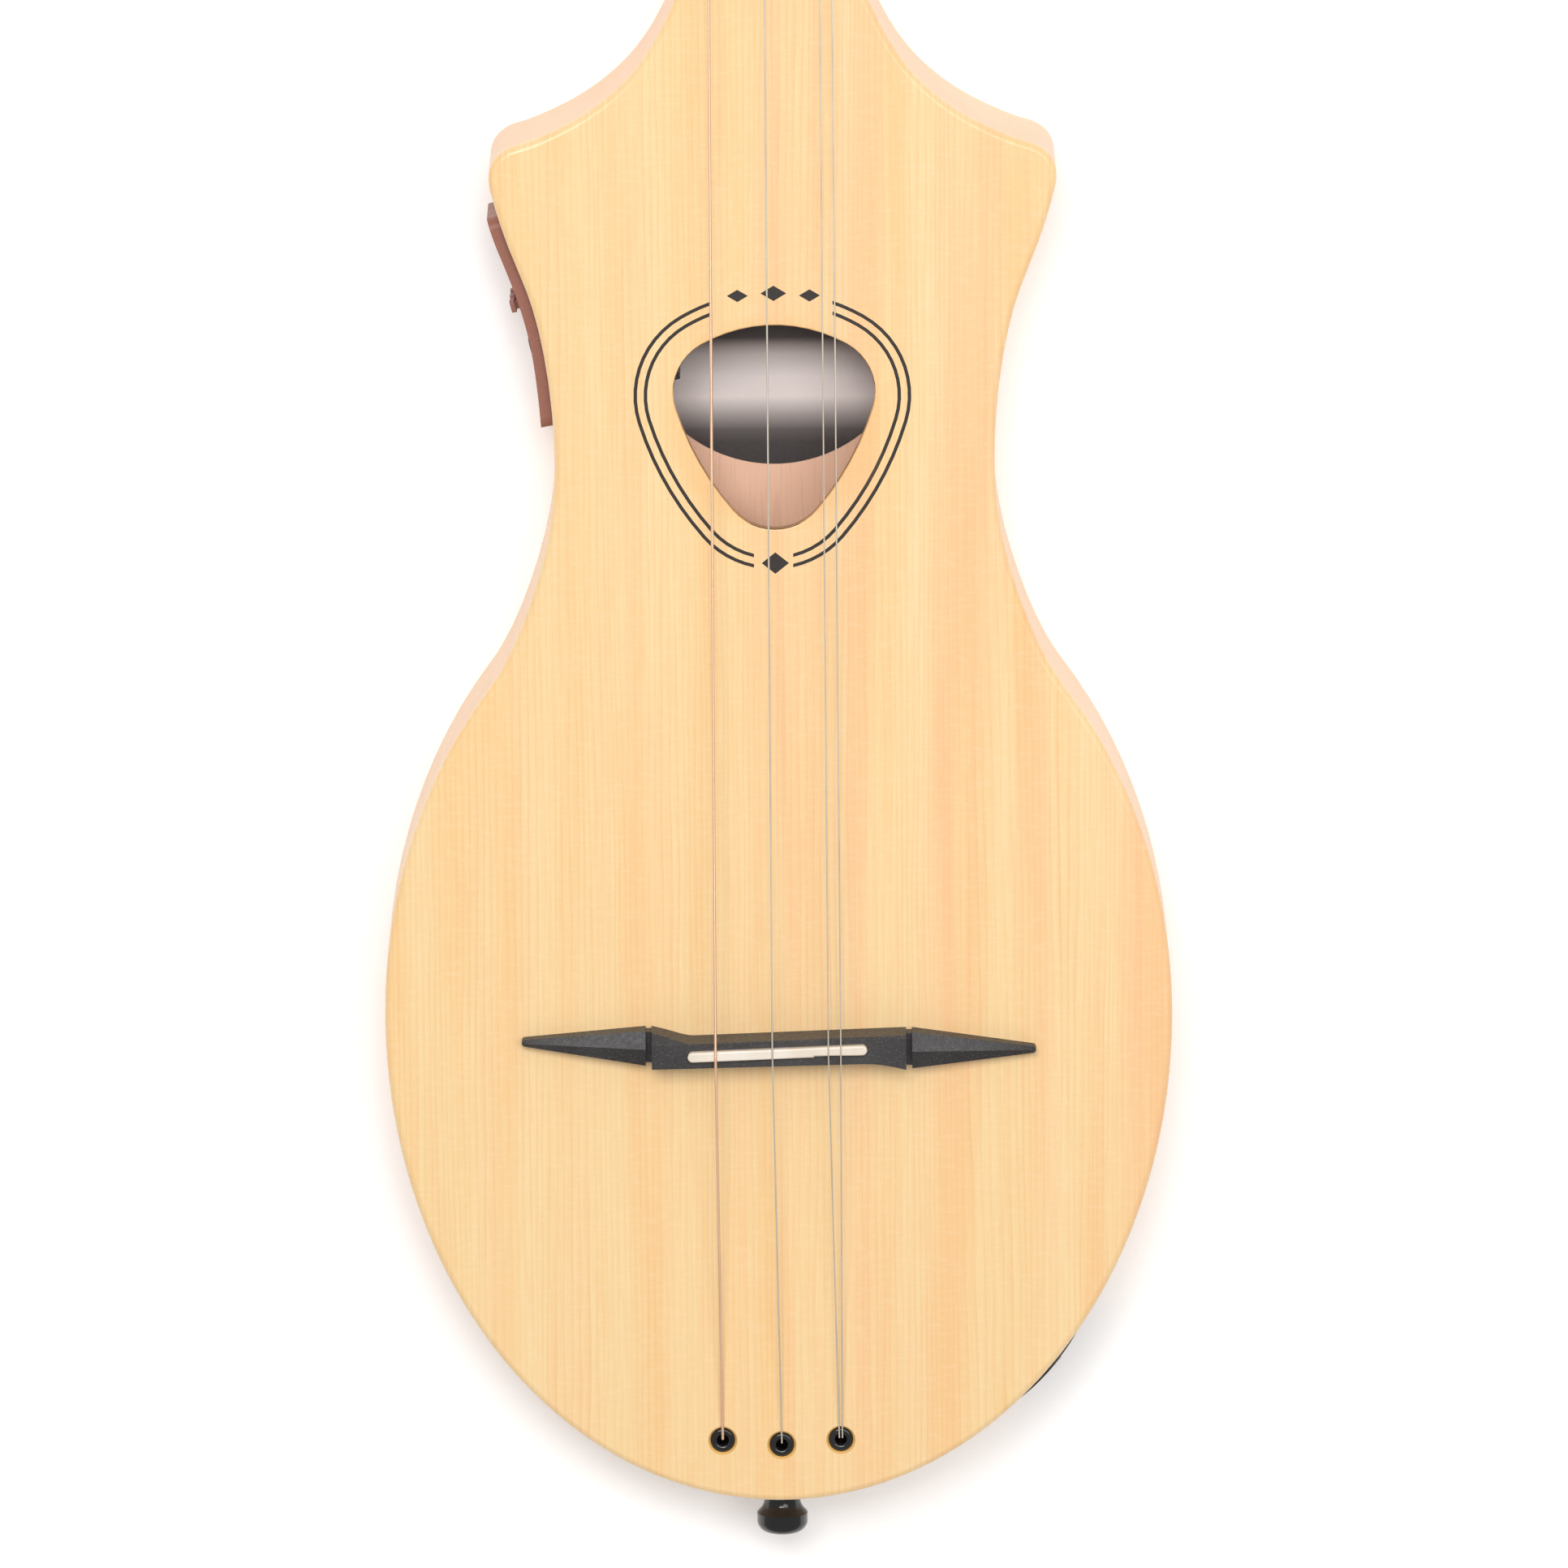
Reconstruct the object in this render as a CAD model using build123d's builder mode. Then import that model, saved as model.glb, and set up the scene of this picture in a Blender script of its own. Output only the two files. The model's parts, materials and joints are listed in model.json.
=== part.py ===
"""Fretted stick dulcimer with four strings, a chambered body and an undersaddle preamp.

The instrument lies on its back. X is to the treble side, Y runs from the tail to the
headstock and Z points out of the soundboard. The back face is at Z = 0.
Lengths along the instrument are stations, in millimetres towards the headstock, and the
body is widest at station 128.
"""
from build123d import *
from math import atan2, cos, degrees, hypot, pi, radians, sin
import os

# ---------------------------------------------------------------- driving dimensions
body_depth = 38.0
top_thickness = 3.0
wall = 12.0
floor = 6.0
body_tail = -1.0
body_end = 408.0
body_half_width = 101.4
widest_station = 128.0
strap_button_length = 12.9
saddle_station = 121.0
scale_length = 628.0
nut_thickness = 5.0
head_angle = 8.0
head_length = 118.0
head_thickness = 14.0
fingerboard_thickness = 6.5
fingerboard_start = 404.0
string_radii = (0.36, 0.22, 0.19, 0.19)
saddle_strings = (-16.3, -1.7, 12.7, 15.9)
nut_strings = (-15.1, -1.6, 11.8, 14.8)

# ---------------------------------------------------------------- derived dimensions
shell_height = body_depth - top_thickness
nut_station = saddle_station + scale_length
head_station = nut_station + nut_thickness
head_end = head_station + head_length * cos(radians(head_angle))
tail_end = body_tail - strap_button_length
middle_station = (head_end + tail_end) / 2
mid_depth = body_depth / 2
saddle_top = body_depth + 12.0
fingerboard_top = body_depth + fingerboard_thickness
nut_top = fingerboard_top + 1.6


def along(station):
    """Y of a station."""
    return station - middle_station


# ---------------------------------------------------------------- shared outlines
# The lower bout is close to an ellipse; the waist narrows into two small horns, and a
# hollow shoulder runs from each horn into the neck.
with BuildSketch() as body_outline:
    with BuildLine():
        lower_bout = EllipticalCenterArc(
            (0, along(widest_station)),
            body_half_width,
            widest_station - body_tail,
            start_angle=270,
            arc_size=90,
        )
        upper_bout = EllipticalCenterArc(
            (0, along(widest_station)), body_half_width, widest_station - 2, start_angle=0, arc_size=43
        )
        waist = Spline(
            upper_bout @ 1,
            (63.9, along(234)),
            (57.3, along(259)),
            (56.6, along(284)),
            (62.2, along(316)),
            (71.2, along(341.5)),
            tangents=[upper_bout % 1, (0.27, 1)],
        )
        horn = Spline(
            waist @ 1,
            (72.3, along(347.6)),
            (70.9, along(352.3)),
            (67.4, along(355.2)),
            (61.2, along(357.3)),
            tangents=[(0.27, 1), (-1, 0.4)],
        )
        shoulder = Spline(
            horn @ 1,
            (50.9, along(362.1)),
            (40.1, along(369.8)),
            (32.2, along(378.8)),
            (25.9, along(390.4)),
            (20.6, along(body_end)),
            tangents=[(-1, 0.4), (-0.16, 1)],
        )
        Line(shoulder @ 1, (0, along(body_end)))
        mirror(about=Plane.YZ)
    make_face()

# Rounded triangle with its point towards the tail
hole_low = 256.3
hole_high = 309.3
with BuildSketch() as sound_hole:
    with BuildLine():
        hole_top = JernArc((0, along(hole_high)), (-1, 0), 36.9, 30.2)
        hole_corner = JernArc(hole_top @ 1, hole_top % 1, 14.4, 76.7)
        hole_side = JernArc(hole_corner @ 1, hole_corner % 1, 74.1, 23.5)
        TangentArc(hole_side @ 1, (0, along(hole_low)), tangent=hole_side % 1)
        mirror(about=Plane.YZ)
    make_face()


def beside(piece, shift, count=9):
    """Curve that runs beside a piece of the right-hand outline, shifted outwards."""
    points = []
    for number in range(count):
        here = piece @ (number / (count - 1))
        heading = piece % (number / (count - 1))
        points.append((here.X + heading.Y * shift, here.Y - heading.X * shift))
    return Spline(*points, tangents=[piece % 0, piece % 1])


def outline_plane(station, depth, side):
    """Plane on the side of the body at a station: x along the outline, z outwards."""
    step = 4.0
    low = side_point(station - step)
    high = side_point(station + step)
    here = side_point(station)
    run = hypot(high - low, 2 * step)
    along_side = (side * (high - low) / run, 2 * step / run, 0)
    outward = (side * 2 * step / run, -(high - low) / run, 0)
    return Plane(origin=(side * here, along(station), depth), x_dir=along_side, z_dir=outward)


def side_point(station):
    """Half width of the body at a station below the horns."""
    level = Axis((0, along(station), 0), (1, 0, 0))
    half_widths = []
    for piece in (lower_bout, upper_bout, waist):
        half_widths += [point.X for point in piece.find_intersection_points(level)]
    return max(half_widths)


panel_station = 310.2
panel_length = 57.2
panel_height = 29.0
panel_proud = 3.2
panel_plane = outline_plane(panel_station, mid_depth, -1)

jack_station = 33.0
jack_plate_length = 38.0
jack_plate_height = 31.0
jack_plate_proud = 0.9
jack_plane = outline_plane(jack_station, mid_depth, 1)

head_plane = Plane(
    origin=(0, along(head_station), body_depth),
    x_dir=(1, 0, 0),
    z_dir=(0, sin(radians(head_angle)), cos(radians(head_angle))),
)

ferrule_points = [(-15.3, 15.3), (0, 14.0), (15.3, 15.3)]
ferrule_spots = [(x, along(station)) for x, station in ferrule_points]

# ---------------------------------------------------------------- body shell
tenon_width = 26.0
tenon_start = 368.0
tenon_bottom = 12.0
housing_length = 49.0
housing_height = 23.0
string_hole_radius = 2.0
top_hole_radius = 2.6
ferrule_reach = 7.2
screw_spots = [(x, y) for x in (-25.7, 25.7) for y in (-10.6, 10.6)]
jack_screws = [(x, 0) for x in (-14.4, 14.4)]
cup_radii = (3.6, 3.6, 4.8)
cup_height = 10.0
flange_height = 1.0
jack_hole_radius = 8.0
strap_screw_radius = 1.6
strap_screw_reach = 10.5

back_radius = 2.0
rim_radius = 1.6
pilot_radius = 1.45
window_gap = 0.3
tail_block = (72, 76)

with BuildPart() as body_shell:
    add(body_outline.sketch)
    extrude(amount=shell_height)
    back_edges = edges().group_by(Axis.Z)[0].filter_by(lambda e: e.center().Y < along(body_end - 1))
    fillet(back_edges, back_radius)
    # chamber under the soundboard, stopped by a tail block and a neck block
    with BuildSketch(Plane.XY.offset(floor)):
        with BuildLine():
            for piece in (lower_bout, upper_bout, waist):
                chamber_side = beside(piece, -wall)
            Line(chamber_side @ 1, (0, (chamber_side @ 1).Y))
            mirror(about=Plane.YZ)
        make_face()
        with Locations((0, along(0))):
            RectangleRounded(*tail_block, 8, mode=Mode.SUBTRACT)
    extrude(amount=body_depth, mode=Mode.SUBTRACT)
    # mortise for the neck
    with BuildSketch(Plane.XY.offset(tenon_bottom)):
        with Locations((0, along((tenon_start + body_end) / 2))):
            Rectangle(tenon_width, body_end - tenon_start)
    extrude(amount=body_depth, mode=Mode.SUBTRACT)
    # window for the preamp through the waist
    with BuildSketch(panel_plane.offset(12)):
        Rectangle(housing_length + 2 * window_gap, housing_height + 2 * window_gap)
    extrude(amount=-34, mode=Mode.SUBTRACT)
    # hole for the output jack
    with BuildSketch(jack_plane.offset(10)):
        Circle(jack_hole_radius)
    extrude(amount=-60, mode=Mode.SUBTRACT)
    # pilot holes for the screws of the preamp panel and the jack plate
    for plane, spots in ((panel_plane, screw_spots), (jack_plane, jack_screws)):
        with BuildSketch(plane.offset(8)):
            with Locations(*spots):
                Circle(pilot_radius)
        extrude(amount=-20, mode=Mode.SUBTRACT)
    # string holes through the tail block, with seats for the ferrules
    with Locations(*ferrule_spots):
        Cylinder(string_hole_radius, 120, mode=Mode.SUBTRACT)
    with Locations(*[(x, y, shell_height) for x, y in ferrule_spots]):
        Cylinder(top_hole_radius, 2 * ferrule_reach, mode=Mode.SUBTRACT)
    for (x, y), radius in zip(ferrule_spots, cup_radii):
        with Locations((x, y, 0)):
            Cylinder(radius, 2 * cup_height, mode=Mode.SUBTRACT)
            Cylinder(radius + 1, 2 * flange_height, mode=Mode.SUBTRACT)
    # pilot hole for the strap button screw
    with BuildSketch(Plane((0, along(body_tail), mid_depth), x_dir=(1, 0, 0), z_dir=(0, 1, 0))):
        Circle(strap_screw_radius)
    extrude(amount=strap_screw_reach + 0.3, mode=Mode.SUBTRACT)

# ---------------------------------------------------------------- soundboard
bridge_hole = (21.4, 121.9)
lead_hole_radius = 1.35
recess_radius = 3.8
flange_radius = 3.15
line_width = 0.9
line_depth = 0.35
line_gaps = (6.7, 9.3)
line_centre = (-0.45, -0.8)
line_breaks = ((316.0, 31.0, 20.0), (248.0, 10.0, 16.0))
lozenges = (
    (-9.2, 317.0, 5.4, 3.2),
    (0, 317.6, 6.6, 4.0),
    (9.2, 317.0, 5.4, 3.2),
    (0, 247.4, 7.0, 5.6),
)


def round_sound_hole(edge):
    """Whether an edge belongs to the sound hole."""
    centre = edge.center()
    return along(hole_low - 1) < centre.Y < along(hole_high + 1) and abs(centre.X) < 30


with BuildPart() as soundboard:
    with BuildSketch(Plane.XY.offset(shell_height)):
        add(body_outline.sketch)
        add(sound_hole.sketch, mode=Mode.SUBTRACT)
    extrude(amount=top_thickness)
    top_edges = edges().group_by(Axis.Z)[-1].filter_by(lambda e: e.center().Y < along(body_end - 1))
    fillet(top_edges.filter_by(lambda e: not round_sound_hole(e)), rim_radius)
    fillet(edges().group_by(Axis.Z)[-1].filter_by(round_sound_hole), 0.5)
    # ferrule holes with a countersunk rim
    with Locations(*[(x, y, body_depth) for x, y in ferrule_spots]):
        Cylinder(top_hole_radius, 8, mode=Mode.SUBTRACT)
    with Locations(*[(x, y, body_depth - 0.7) for x, y in ferrule_spots]):
        Cylinder(flange_radius + 0.1, 1.4, mode=Mode.SUBTRACT)
    with Locations(*[(x, y, body_depth - 0.4) for x, y in ferrule_spots]):
        Cone(flange_radius + 0.1, recess_radius, 0.8, mode=Mode.SUBTRACT)
    # hole for the pickup lead
    with Locations((bridge_hole[0], along(bridge_hole[1]), body_depth)):
        Cylinder(lead_hole_radius, 8, mode=Mode.SUBTRACT)
    # two engraved lines round the sound hole, broken at both ends
    for gap in line_gaps:
        with BuildSketch(Plane((*line_centre, body_depth))):
            add(sound_hole.sketch)
            offset(amount=gap + line_width / 2)
            inside = offset(sound_hole.sketch, amount=gap - line_width / 2, mode=Mode.PRIVATE)
            add(inside, mode=Mode.SUBTRACT)
            for station, length, height in line_breaks:
                with Locations((0, along(station))):
                    Rectangle(length, height, mode=Mode.SUBTRACT)
        extrude(amount=-line_depth, mode=Mode.SUBTRACT)
    # plain lozenges fill the breaks
    with BuildSketch(Plane.XY.offset(body_depth)):
        for x, station, length, height in lozenges:
            corners = ((-length / 2, 0), (0, height / 2), (length / 2, 0), (0, -height / 2))
            with Locations((x, along(station))):
                Polygon(*corners, align=None)
    extrude(amount=-line_depth, mode=Mode.SUBTRACT)

brace_width = 8.0
brace_height = 10.0
brace_end_height = 3.0
brace_taper = 22.0
braces = ((72, 74), (150, 82), (238, 46))
with BuildPart() as transverse_braces:
    for station, half in braces:
        with BuildSketch(Plane.XZ.offset(-along(station) + brace_width / 2)):
            with BuildLine():
                Polyline(
                    (-half, shell_height),
                    (-half, shell_height - brace_end_height),
                    (-half + brace_taper, shell_height - brace_height),
                    (half - brace_taper, shell_height - brace_height),
                    (half, shell_height - brace_end_height),
                    (half, shell_height),
                    close=True,
                )
            make_face()
        extrude(amount=-brace_width)

label_station = 303.0
label_radius = 36.0
with BuildPart() as label:
    with BuildSketch(Plane.XY.offset(floor)):
        with Locations((0, along(label_station))):
            Circle(label_radius)
    extrude(amount=0.3)

# ---------------------------------------------------------------- bridge and saddle
bridge_height = 10.0
wing_edge = 5.8
wing_ridge = 7.5
groove = 33.5
groove_half = 0.8
tip = 66.2
tip_radius = 0.9
saddle_length = 46.2
saddle_width = 2.6
saddle_slant = 2.1
slot_bottom = body_depth + 3.0
strip_height = 1.0

with BuildPart() as bridge:
    # middle block, waisted like a shallow S
    with BuildSketch(Plane.XY.offset(body_depth)):
        with BuildLine():
            left_foot = (-groove + groove_half, along(116.7))
            left_head = (-groove + groove_half, along(126.0))
            right_head = (groove - groove_half, along(125.2))
            right_foot = (groove - groove_half, along(116.2))
            Line(left_foot, left_head)
            Spline(
                left_head,
                (-27.5, along(124.6)),
                (-21.4, along(123.4)),
                tangents=[(1, -0.25), (1, 0.033)],
            )
            Line((-21.4, along(123.4)), right_head)
            Line(right_head, right_foot)
            Spline(
                right_foot,
                (26.5, along(117.5)),
                (19.5, along(117.75)),
                tangents=[(-1, 0.25), (-1, -0.027)],
            )
            Line((19.5, along(117.75)), left_foot)
        make_face()
    extrude(amount=bridge_height)
    # facet that falls towards the neck from a straight ridge
    ridge_left = Vector(-40, along(122.8), body_depth + bridge_height)
    ridge_right = Vector(40, along(124.6), body_depth + bridge_height)
    ridge_run = (ridge_right - ridge_left).normalized()
    with BuildSketch(Plane(origin=ridge_left, x_dir=Vector(0, 0, 1).cross(ridge_run), z_dir=ridge_run)):
        with BuildLine():
            Polyline((0, 0), (6, 3.6), (6, -4.0), close=True)
        make_face()
    extrude(amount=82, mode=Mode.SUBTRACT)
    # arrow-shaped wings with a central ridge
    wings = (
        (-1, 116.8, 126.0, 122.4),
        (1, 115.6, 125.2, 119.8),
    )
    for side, foot, head, point in wings:
        sections = (
            (groove + groove_half, foot, head, wing_edge, wing_ridge),
            (tip - tip_radius, point - tip_radius, point + tip_radius, 3.6, 4.2),
        )
        for x, low, high, edge, ridge in sections:
            with BuildSketch(Plane((side * x, 0, body_depth), x_dir=(0, 1, 0), z_dir=(1, 0, 0))):
                with BuildLine():
                    Polyline(
                        (along(low), 0),
                        (along(high), 0),
                        (along(high), edge),
                        (along((low + high) / 2), ridge),
                        (along(low), edge),
                        close=True,
                    )
                make_face()
        loft()
        with Locations((side * (tip - tip_radius), along(point), body_depth + 1.8)):
            Cylinder(tip_radius, 3.6)
        # thin web left under the groove
        with Locations((side * groove, along((foot + head) / 2), body_depth + 2.2)):
            Box(2 * groove_half + 0.4, head - foot - 1.2, 4.4)
    # slot for the saddle and its pickup
    with BuildSketch(Plane.XY.offset(body_depth + bridge_height)):
        with Locations(Location((-0.4, along(saddle_station)), saddle_slant)):
            SlotOverall(saddle_length + 0.2, saddle_width + 0.2)
    extrude(amount=slot_bottom - body_depth - bridge_height, mode=Mode.SUBTRACT)
    with Locations((bridge_hole[0], along(bridge_hole[1]), body_depth)):
        Cylinder(lead_hole_radius, 8, mode=Mode.SUBTRACT)

with BuildPart() as pickup_strip:
    with BuildSketch(Plane.XY.offset(slot_bottom)):
        with Locations(Location((-0.4, along(saddle_station)), saddle_slant)):
            SlotOverall(saddle_length, saddle_width - 0.4)
    extrude(amount=strip_height)

with BuildPart() as saddle:
    with BuildSketch(Plane.XY.offset(slot_bottom + strip_height)):
        with Locations(Location((-0.4, along(saddle_station)), saddle_slant)):
            SlotOverall(saddle_length, saddle_width)
    extrude(amount=saddle_top - slot_bottom - strip_height)
    # step in the tail-side edge, for the intonation of the thin strings
    with Locations((16.5, along(saddle_station - 1.0), saddle_top)):
        Box(15.0, 0.9, 3.0, mode=Mode.SUBTRACT)
    fillet(faces().sort_by(Axis.Z)[-1].edges(), 0.5)

# ---------------------------------------------------------------- string anchors
with BuildPart() as top_ferrules:
    for x, y in ferrule_spots:
        with BuildSketch(Plane((x, y, body_depth), x_dir=(1, 0, 0), z_dir=(0, -1, 0))):
            with BuildLine():
                Polyline(
                    (1.4, -1.0),
                    (1.4, -10.0),
                    (2.5, -10.0),
                    (2.5, -1.3),
                    (flange_radius, -1.3),
                    (flange_radius, -1.0),
                )
                ThreePointArc((flange_radius, -1.0), (2.95, -0.55), (2.4, -0.35))
                Line((2.4, -0.35), (2.0, -0.35))
                ThreePointArc((2.0, -0.35), (1.6, -0.55), (1.4, -1.0))
            make_face()
        revolve(axis=Axis((x, y, 0), (0, 0, 1)))

with BuildPart() as back_ferrules:
    for (x, y), outer, bore in zip(ferrule_spots, cup_radii, (2.6, 2.6, 4.0)):
        with BuildSketch(Plane((x, y, 0), x_dir=(1, 0, 0), z_dir=(0, -1, 0))):
            with BuildLine():
                Polyline(
                    (bore, 0.0),
                    (outer + 1, 0.0),
                    (outer + 1, flange_height),
                    (outer, flange_height),
                    (outer, cup_height),
                    (1.9, cup_height),
                    (1.9, cup_height - 1.2),
                    (bore, cup_height - 1.2),
                    close=True,
                )
            make_face()
        revolve(axis=Axis((x, y, 0), (0, 0, 1)))

ball_radius = 1.8
ball_length = 3.1
ball_height = 6.6
pair_spread = 1.72
string_exits = (
    (ferrule_points[0][0], ferrule_points[0][1]),
    (ferrule_points[1][0], ferrule_points[1][1]),
    (ferrule_points[2][0] - 0.4, ferrule_points[2][1]),
    (ferrule_points[2][0] + 0.4, ferrule_points[2][1]),
)
ball_points = (
    ferrule_points[0],
    ferrule_points[1],
    (ferrule_points[2][0] - pair_spread, ferrule_points[2][1]),
    (ferrule_points[2][0] + pair_spread, ferrule_points[2][1]),
)
with BuildPart() as ball_ends:
    for x, station in ball_points:
        with Locations((x, along(station), ball_height)):
            Cylinder(ball_radius, ball_length, rotation=(0, 90, 0))
            Cylinder(0.45, 3 * ball_radius, mode=Mode.SUBTRACT)

# ---------------------------------------------------------------- strap button
with BuildPart() as strap_button:
    with BuildSketch(Plane((0, along(body_tail), mid_depth), x_dir=(1, 0, 0), z_dir=(0, 0, 1))):
        with BuildLine():
            Line((1.9, 0), (5.8, 0))
            Line((5.8, 0), (5.8, -1.0))
            Spline((5.8, -1.0), (4.7, -4.0), (6.2, -7.4), tangents=[(-0.5, -1), (0.9, -0.8)])
            Line((6.2, -7.4), (6.6, -7.9))
            Line((6.6, -7.9), (6.6, -10.4))
            ThreePointArc((6.6, -10.4), (5.9, -12.0), (4.6, -strap_button_length))
            Line((4.6, -strap_button_length), (3.6, -strap_button_length))
            Line((3.6, -strap_button_length), (1.9, -11.0))
            Line((1.9, -11.0), (1.9, 0))
        make_face()
    revolve(axis=Axis((0, along(body_tail), mid_depth), (0, 1, 0)))

strap_screw_head = 12.4
cross_width = 0.8
cross_length = 4.4
with BuildPart() as strap_button_screw:
    with BuildSketch(Plane((0, along(body_tail), mid_depth), x_dir=(1, 0, 0), z_dir=(0, 0, 1))):
        with BuildLine():
            Polyline(
                (0, -strap_screw_head),
                (3.1, -strap_screw_head),
                (strap_screw_radius, -10.9),
                (strap_screw_radius, 7.0),
                (0, strap_screw_reach),
                close=True,
            )
        make_face()
    revolve(axis=Axis((0, along(body_tail), mid_depth), (0, 1, 0)))
    with Locations(Location((0, along(body_tail) - strap_screw_head, mid_depth), (90, 0, 0))):
        Box(cross_width, cross_length, 2.0, mode=Mode.SUBTRACT)
        Box(cross_length, cross_width, 2.0, mode=Mode.SUBTRACT)

# ---------------------------------------------------------------- preamp
slider_x = 4.0
slider_rows = (7.6, 0.0, -7.6)
slider_travel = 7.5
slot_width = 2.0
switch_x = -8.9
switch_radius = 2.6
display_x = -17.0
display_size = (5.0, 17.0)
door_x = 19.2
door_size = (8.4, 22.6)
panel_floor = -1.5
panel_screw_seat = 3.0
cap_level = 4.6
board_level = -16.0
housing_depth = 30.0
housing_wall = 1.2
bay_depth = 27.0
bay_width = 8.8
panel_screw_radius = 1.35
panel_screw_cross = (0.5, 1.9)
board_x = -4.9
board_size = (36.0, 20.0)
board_thickness = 1.6
board_gap = 0.4
track_size = (17.6, 5.0)
display_block = (7.0, 18.0)
switch_block = 6.0
chip_size = 8.0
chip_spots = ((-12, 2), (2, -3))
component_height = 4.0
cap_size = (3.2, 4.6)
cap_height = 1.2
blade_size = (2.0, 1.2)
blade_gap = 0.5


def side_strip(piece, height, proud, side):
    """Strip that lies on the side of the body along a piece of its outline."""
    with BuildPart() as strip:
        with BuildSketch(Plane.XY.offset(mid_depth - height / 2)):
            with BuildLine():
                add(piece.edge())
                outer = beside(piece, proud)
                Line(piece @ 0, outer @ 0)
                Line(piece @ 1, outer @ 1)
            make_face()
            if side < 0:
                mirror(about=Plane.YZ, mode=Mode.REPLACE)
        extrude(amount=height)
    return strip.part


panel_foot = panel_length + 1.3
with BuildPart() as preamp_panel:
    add(side_strip(waist, panel_height, panel_proud, -1))
    with BuildSketch(panel_plane.offset(-12)):
        RectangleRounded(panel_foot, panel_height, 4.0)
    extrude(amount=30, taper=4, mode=Mode.INTERSECT)
    with BuildSketch(panel_plane.offset(12)):
        for row in slider_rows:
            with Locations((slider_x, row)):
                SlotOverall(2 * slider_travel + 4.0, slot_width)
        with Locations((switch_x, 0)):
            Circle(switch_radius + 0.35)
        with Locations((display_x, 0)):
            RectangleRounded(*display_size, 0.8)
        with Locations((door_x, 0)):
            RectangleRounded(door_size[0] + 0.7, door_size[1] + 0.7, 1.0)
        with Locations(*screw_spots):
            Circle(1.1)
    extrude(amount=-24, mode=Mode.SUBTRACT)
    with BuildSketch(panel_plane.offset(12)):
        with Locations(*screw_spots):
            Circle(panel_screw_radius + 0.2)
    extrude(amount=panel_screw_seat - 12, mode=Mode.SUBTRACT)

with BuildPart() as panel_screws:
    with BuildSketch(panel_plane.offset(panel_screw_seat + 0.05)):
        with Locations(*screw_spots):
            Circle(panel_screw_radius)
    extrude(amount=1.2)
    with BuildSketch(panel_plane.offset(panel_screw_seat + 0.05)):
        with Locations(*screw_spots):
            Circle(1.0)
    extrude(amount=-10)
    with BuildSketch(panel_plane.offset(panel_screw_seat + 1.25)):
        with Locations(*screw_spots):
            Rectangle(*panel_screw_cross)
            Rectangle(*reversed(panel_screw_cross))
    extrude(amount=-0.6, mode=Mode.SUBTRACT)

with BuildPart() as preamp_housing:
    with BuildSketch(panel_plane.offset(panel_floor)):
        Rectangle(housing_length, housing_height)
    extrude(amount=-housing_depth)
    with BuildSketch(panel_plane.offset(panel_floor)):
        with Locations((board_x, 0)):
            Rectangle(board_size[0] + 2 * board_gap, housing_height - 2 * housing_wall)
    extrude(amount=housing_wall - housing_depth, mode=Mode.SUBTRACT)
    with BuildSketch(panel_plane.offset(panel_floor)):
        with Locations((door_x, 0)):
            Rectangle(bay_width, housing_height)
    extrude(amount=-bay_depth - 1, mode=Mode.SUBTRACT)

with BuildPart() as circuit_board:
    with BuildSketch(panel_plane.offset(board_level)):
        with Locations((board_x, 0)):
            Rectangle(*board_size)
    extrude(amount=-board_thickness)
    with BuildSketch(panel_plane.offset(board_level)):
        for row in slider_rows:
            with Locations((slider_x, row)):
                Rectangle(*track_size)
        with Locations((switch_x, 0)):
            Rectangle(switch_block, switch_block)
        with Locations((display_x, 0)):
            Rectangle(*display_block)
    extrude(amount=component_height)
    with BuildSketch(panel_plane.offset(board_level - board_thickness)):
        with Locations(*chip_spots):
            Rectangle(chip_size, chip_size)
    extrude(amount=-2.0)


def slider(row):
    """Slider cap on a blade that reaches down to its track on the board."""
    with BuildPart() as knob:
        with BuildSketch(panel_plane.offset(cap_level)):
            with Locations((slider_x, row)):
                RectangleRounded(*cap_size, 0.6)
        extrude(amount=cap_height, taper=8)
        with BuildSketch(panel_plane.offset(cap_level)):
            with Locations((slider_x, row)):
                Rectangle(*blade_size)
        extrude(amount=board_level + component_height + blade_gap - cap_level)
    return knob


volume_slider = slider(slider_rows[0])
bass_slider = slider(slider_rows[1])
treble_slider = slider(slider_rows[2])

with BuildPart() as tuner_switch:
    with BuildSketch(panel_plane.offset(-10.4)):
        with Locations((switch_x, 0)):
            Circle(1.4)
    extrude(amount=12)
    with BuildSketch(panel_plane.offset(1.0)):
        with Locations((switch_x, 0)):
            Circle(switch_radius)
    extrude(amount=3.2)
    fillet(faces().filter_by(GeomType.PLANE).sort_by(Axis.X)[0].edges(), 0.6)

with BuildPart() as display_window:
    with BuildSketch(panel_plane.offset(-0.8)):
        with Locations((display_x, 0)):
            RectangleRounded(display_size[0] - 0.04, display_size[1] - 0.04, 0.8)
    extrude(amount=4.4)

cell_radius = 10.0
cell_thickness = 3.2
cell_depth = -15.0
cell_gap = 0.1
door_thickness = 2.2
door_level = 4.6
tray_width = 8.0
tray_height = 22.2
finger_bay = (4.2, 16.0, 16.0)
with BuildPart() as battery_tray:
    with BuildSketch(panel_plane.offset(door_level)):
        with Locations((door_x, 0)):
            RectangleRounded(*door_size, 0.8)
    extrude(amount=-door_thickness)
    with BuildSketch(panel_plane.offset(door_level - door_thickness)):
        with Locations((door_x, 0)):
            Rectangle(tray_width, tray_height)
    extrude(amount=-bay_depth)
    with Locations(panel_plane * Location((door_x, 0, cell_depth), (0, 90, 0))):
        Cylinder(cell_radius + 0.15, 2 * (cell_thickness + cell_gap), mode=Mode.SUBTRACT)
    with Locations(panel_plane * Location((door_x + 2, 0, cell_depth))):
        Box(*finger_bay, mode=Mode.SUBTRACT)

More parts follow.
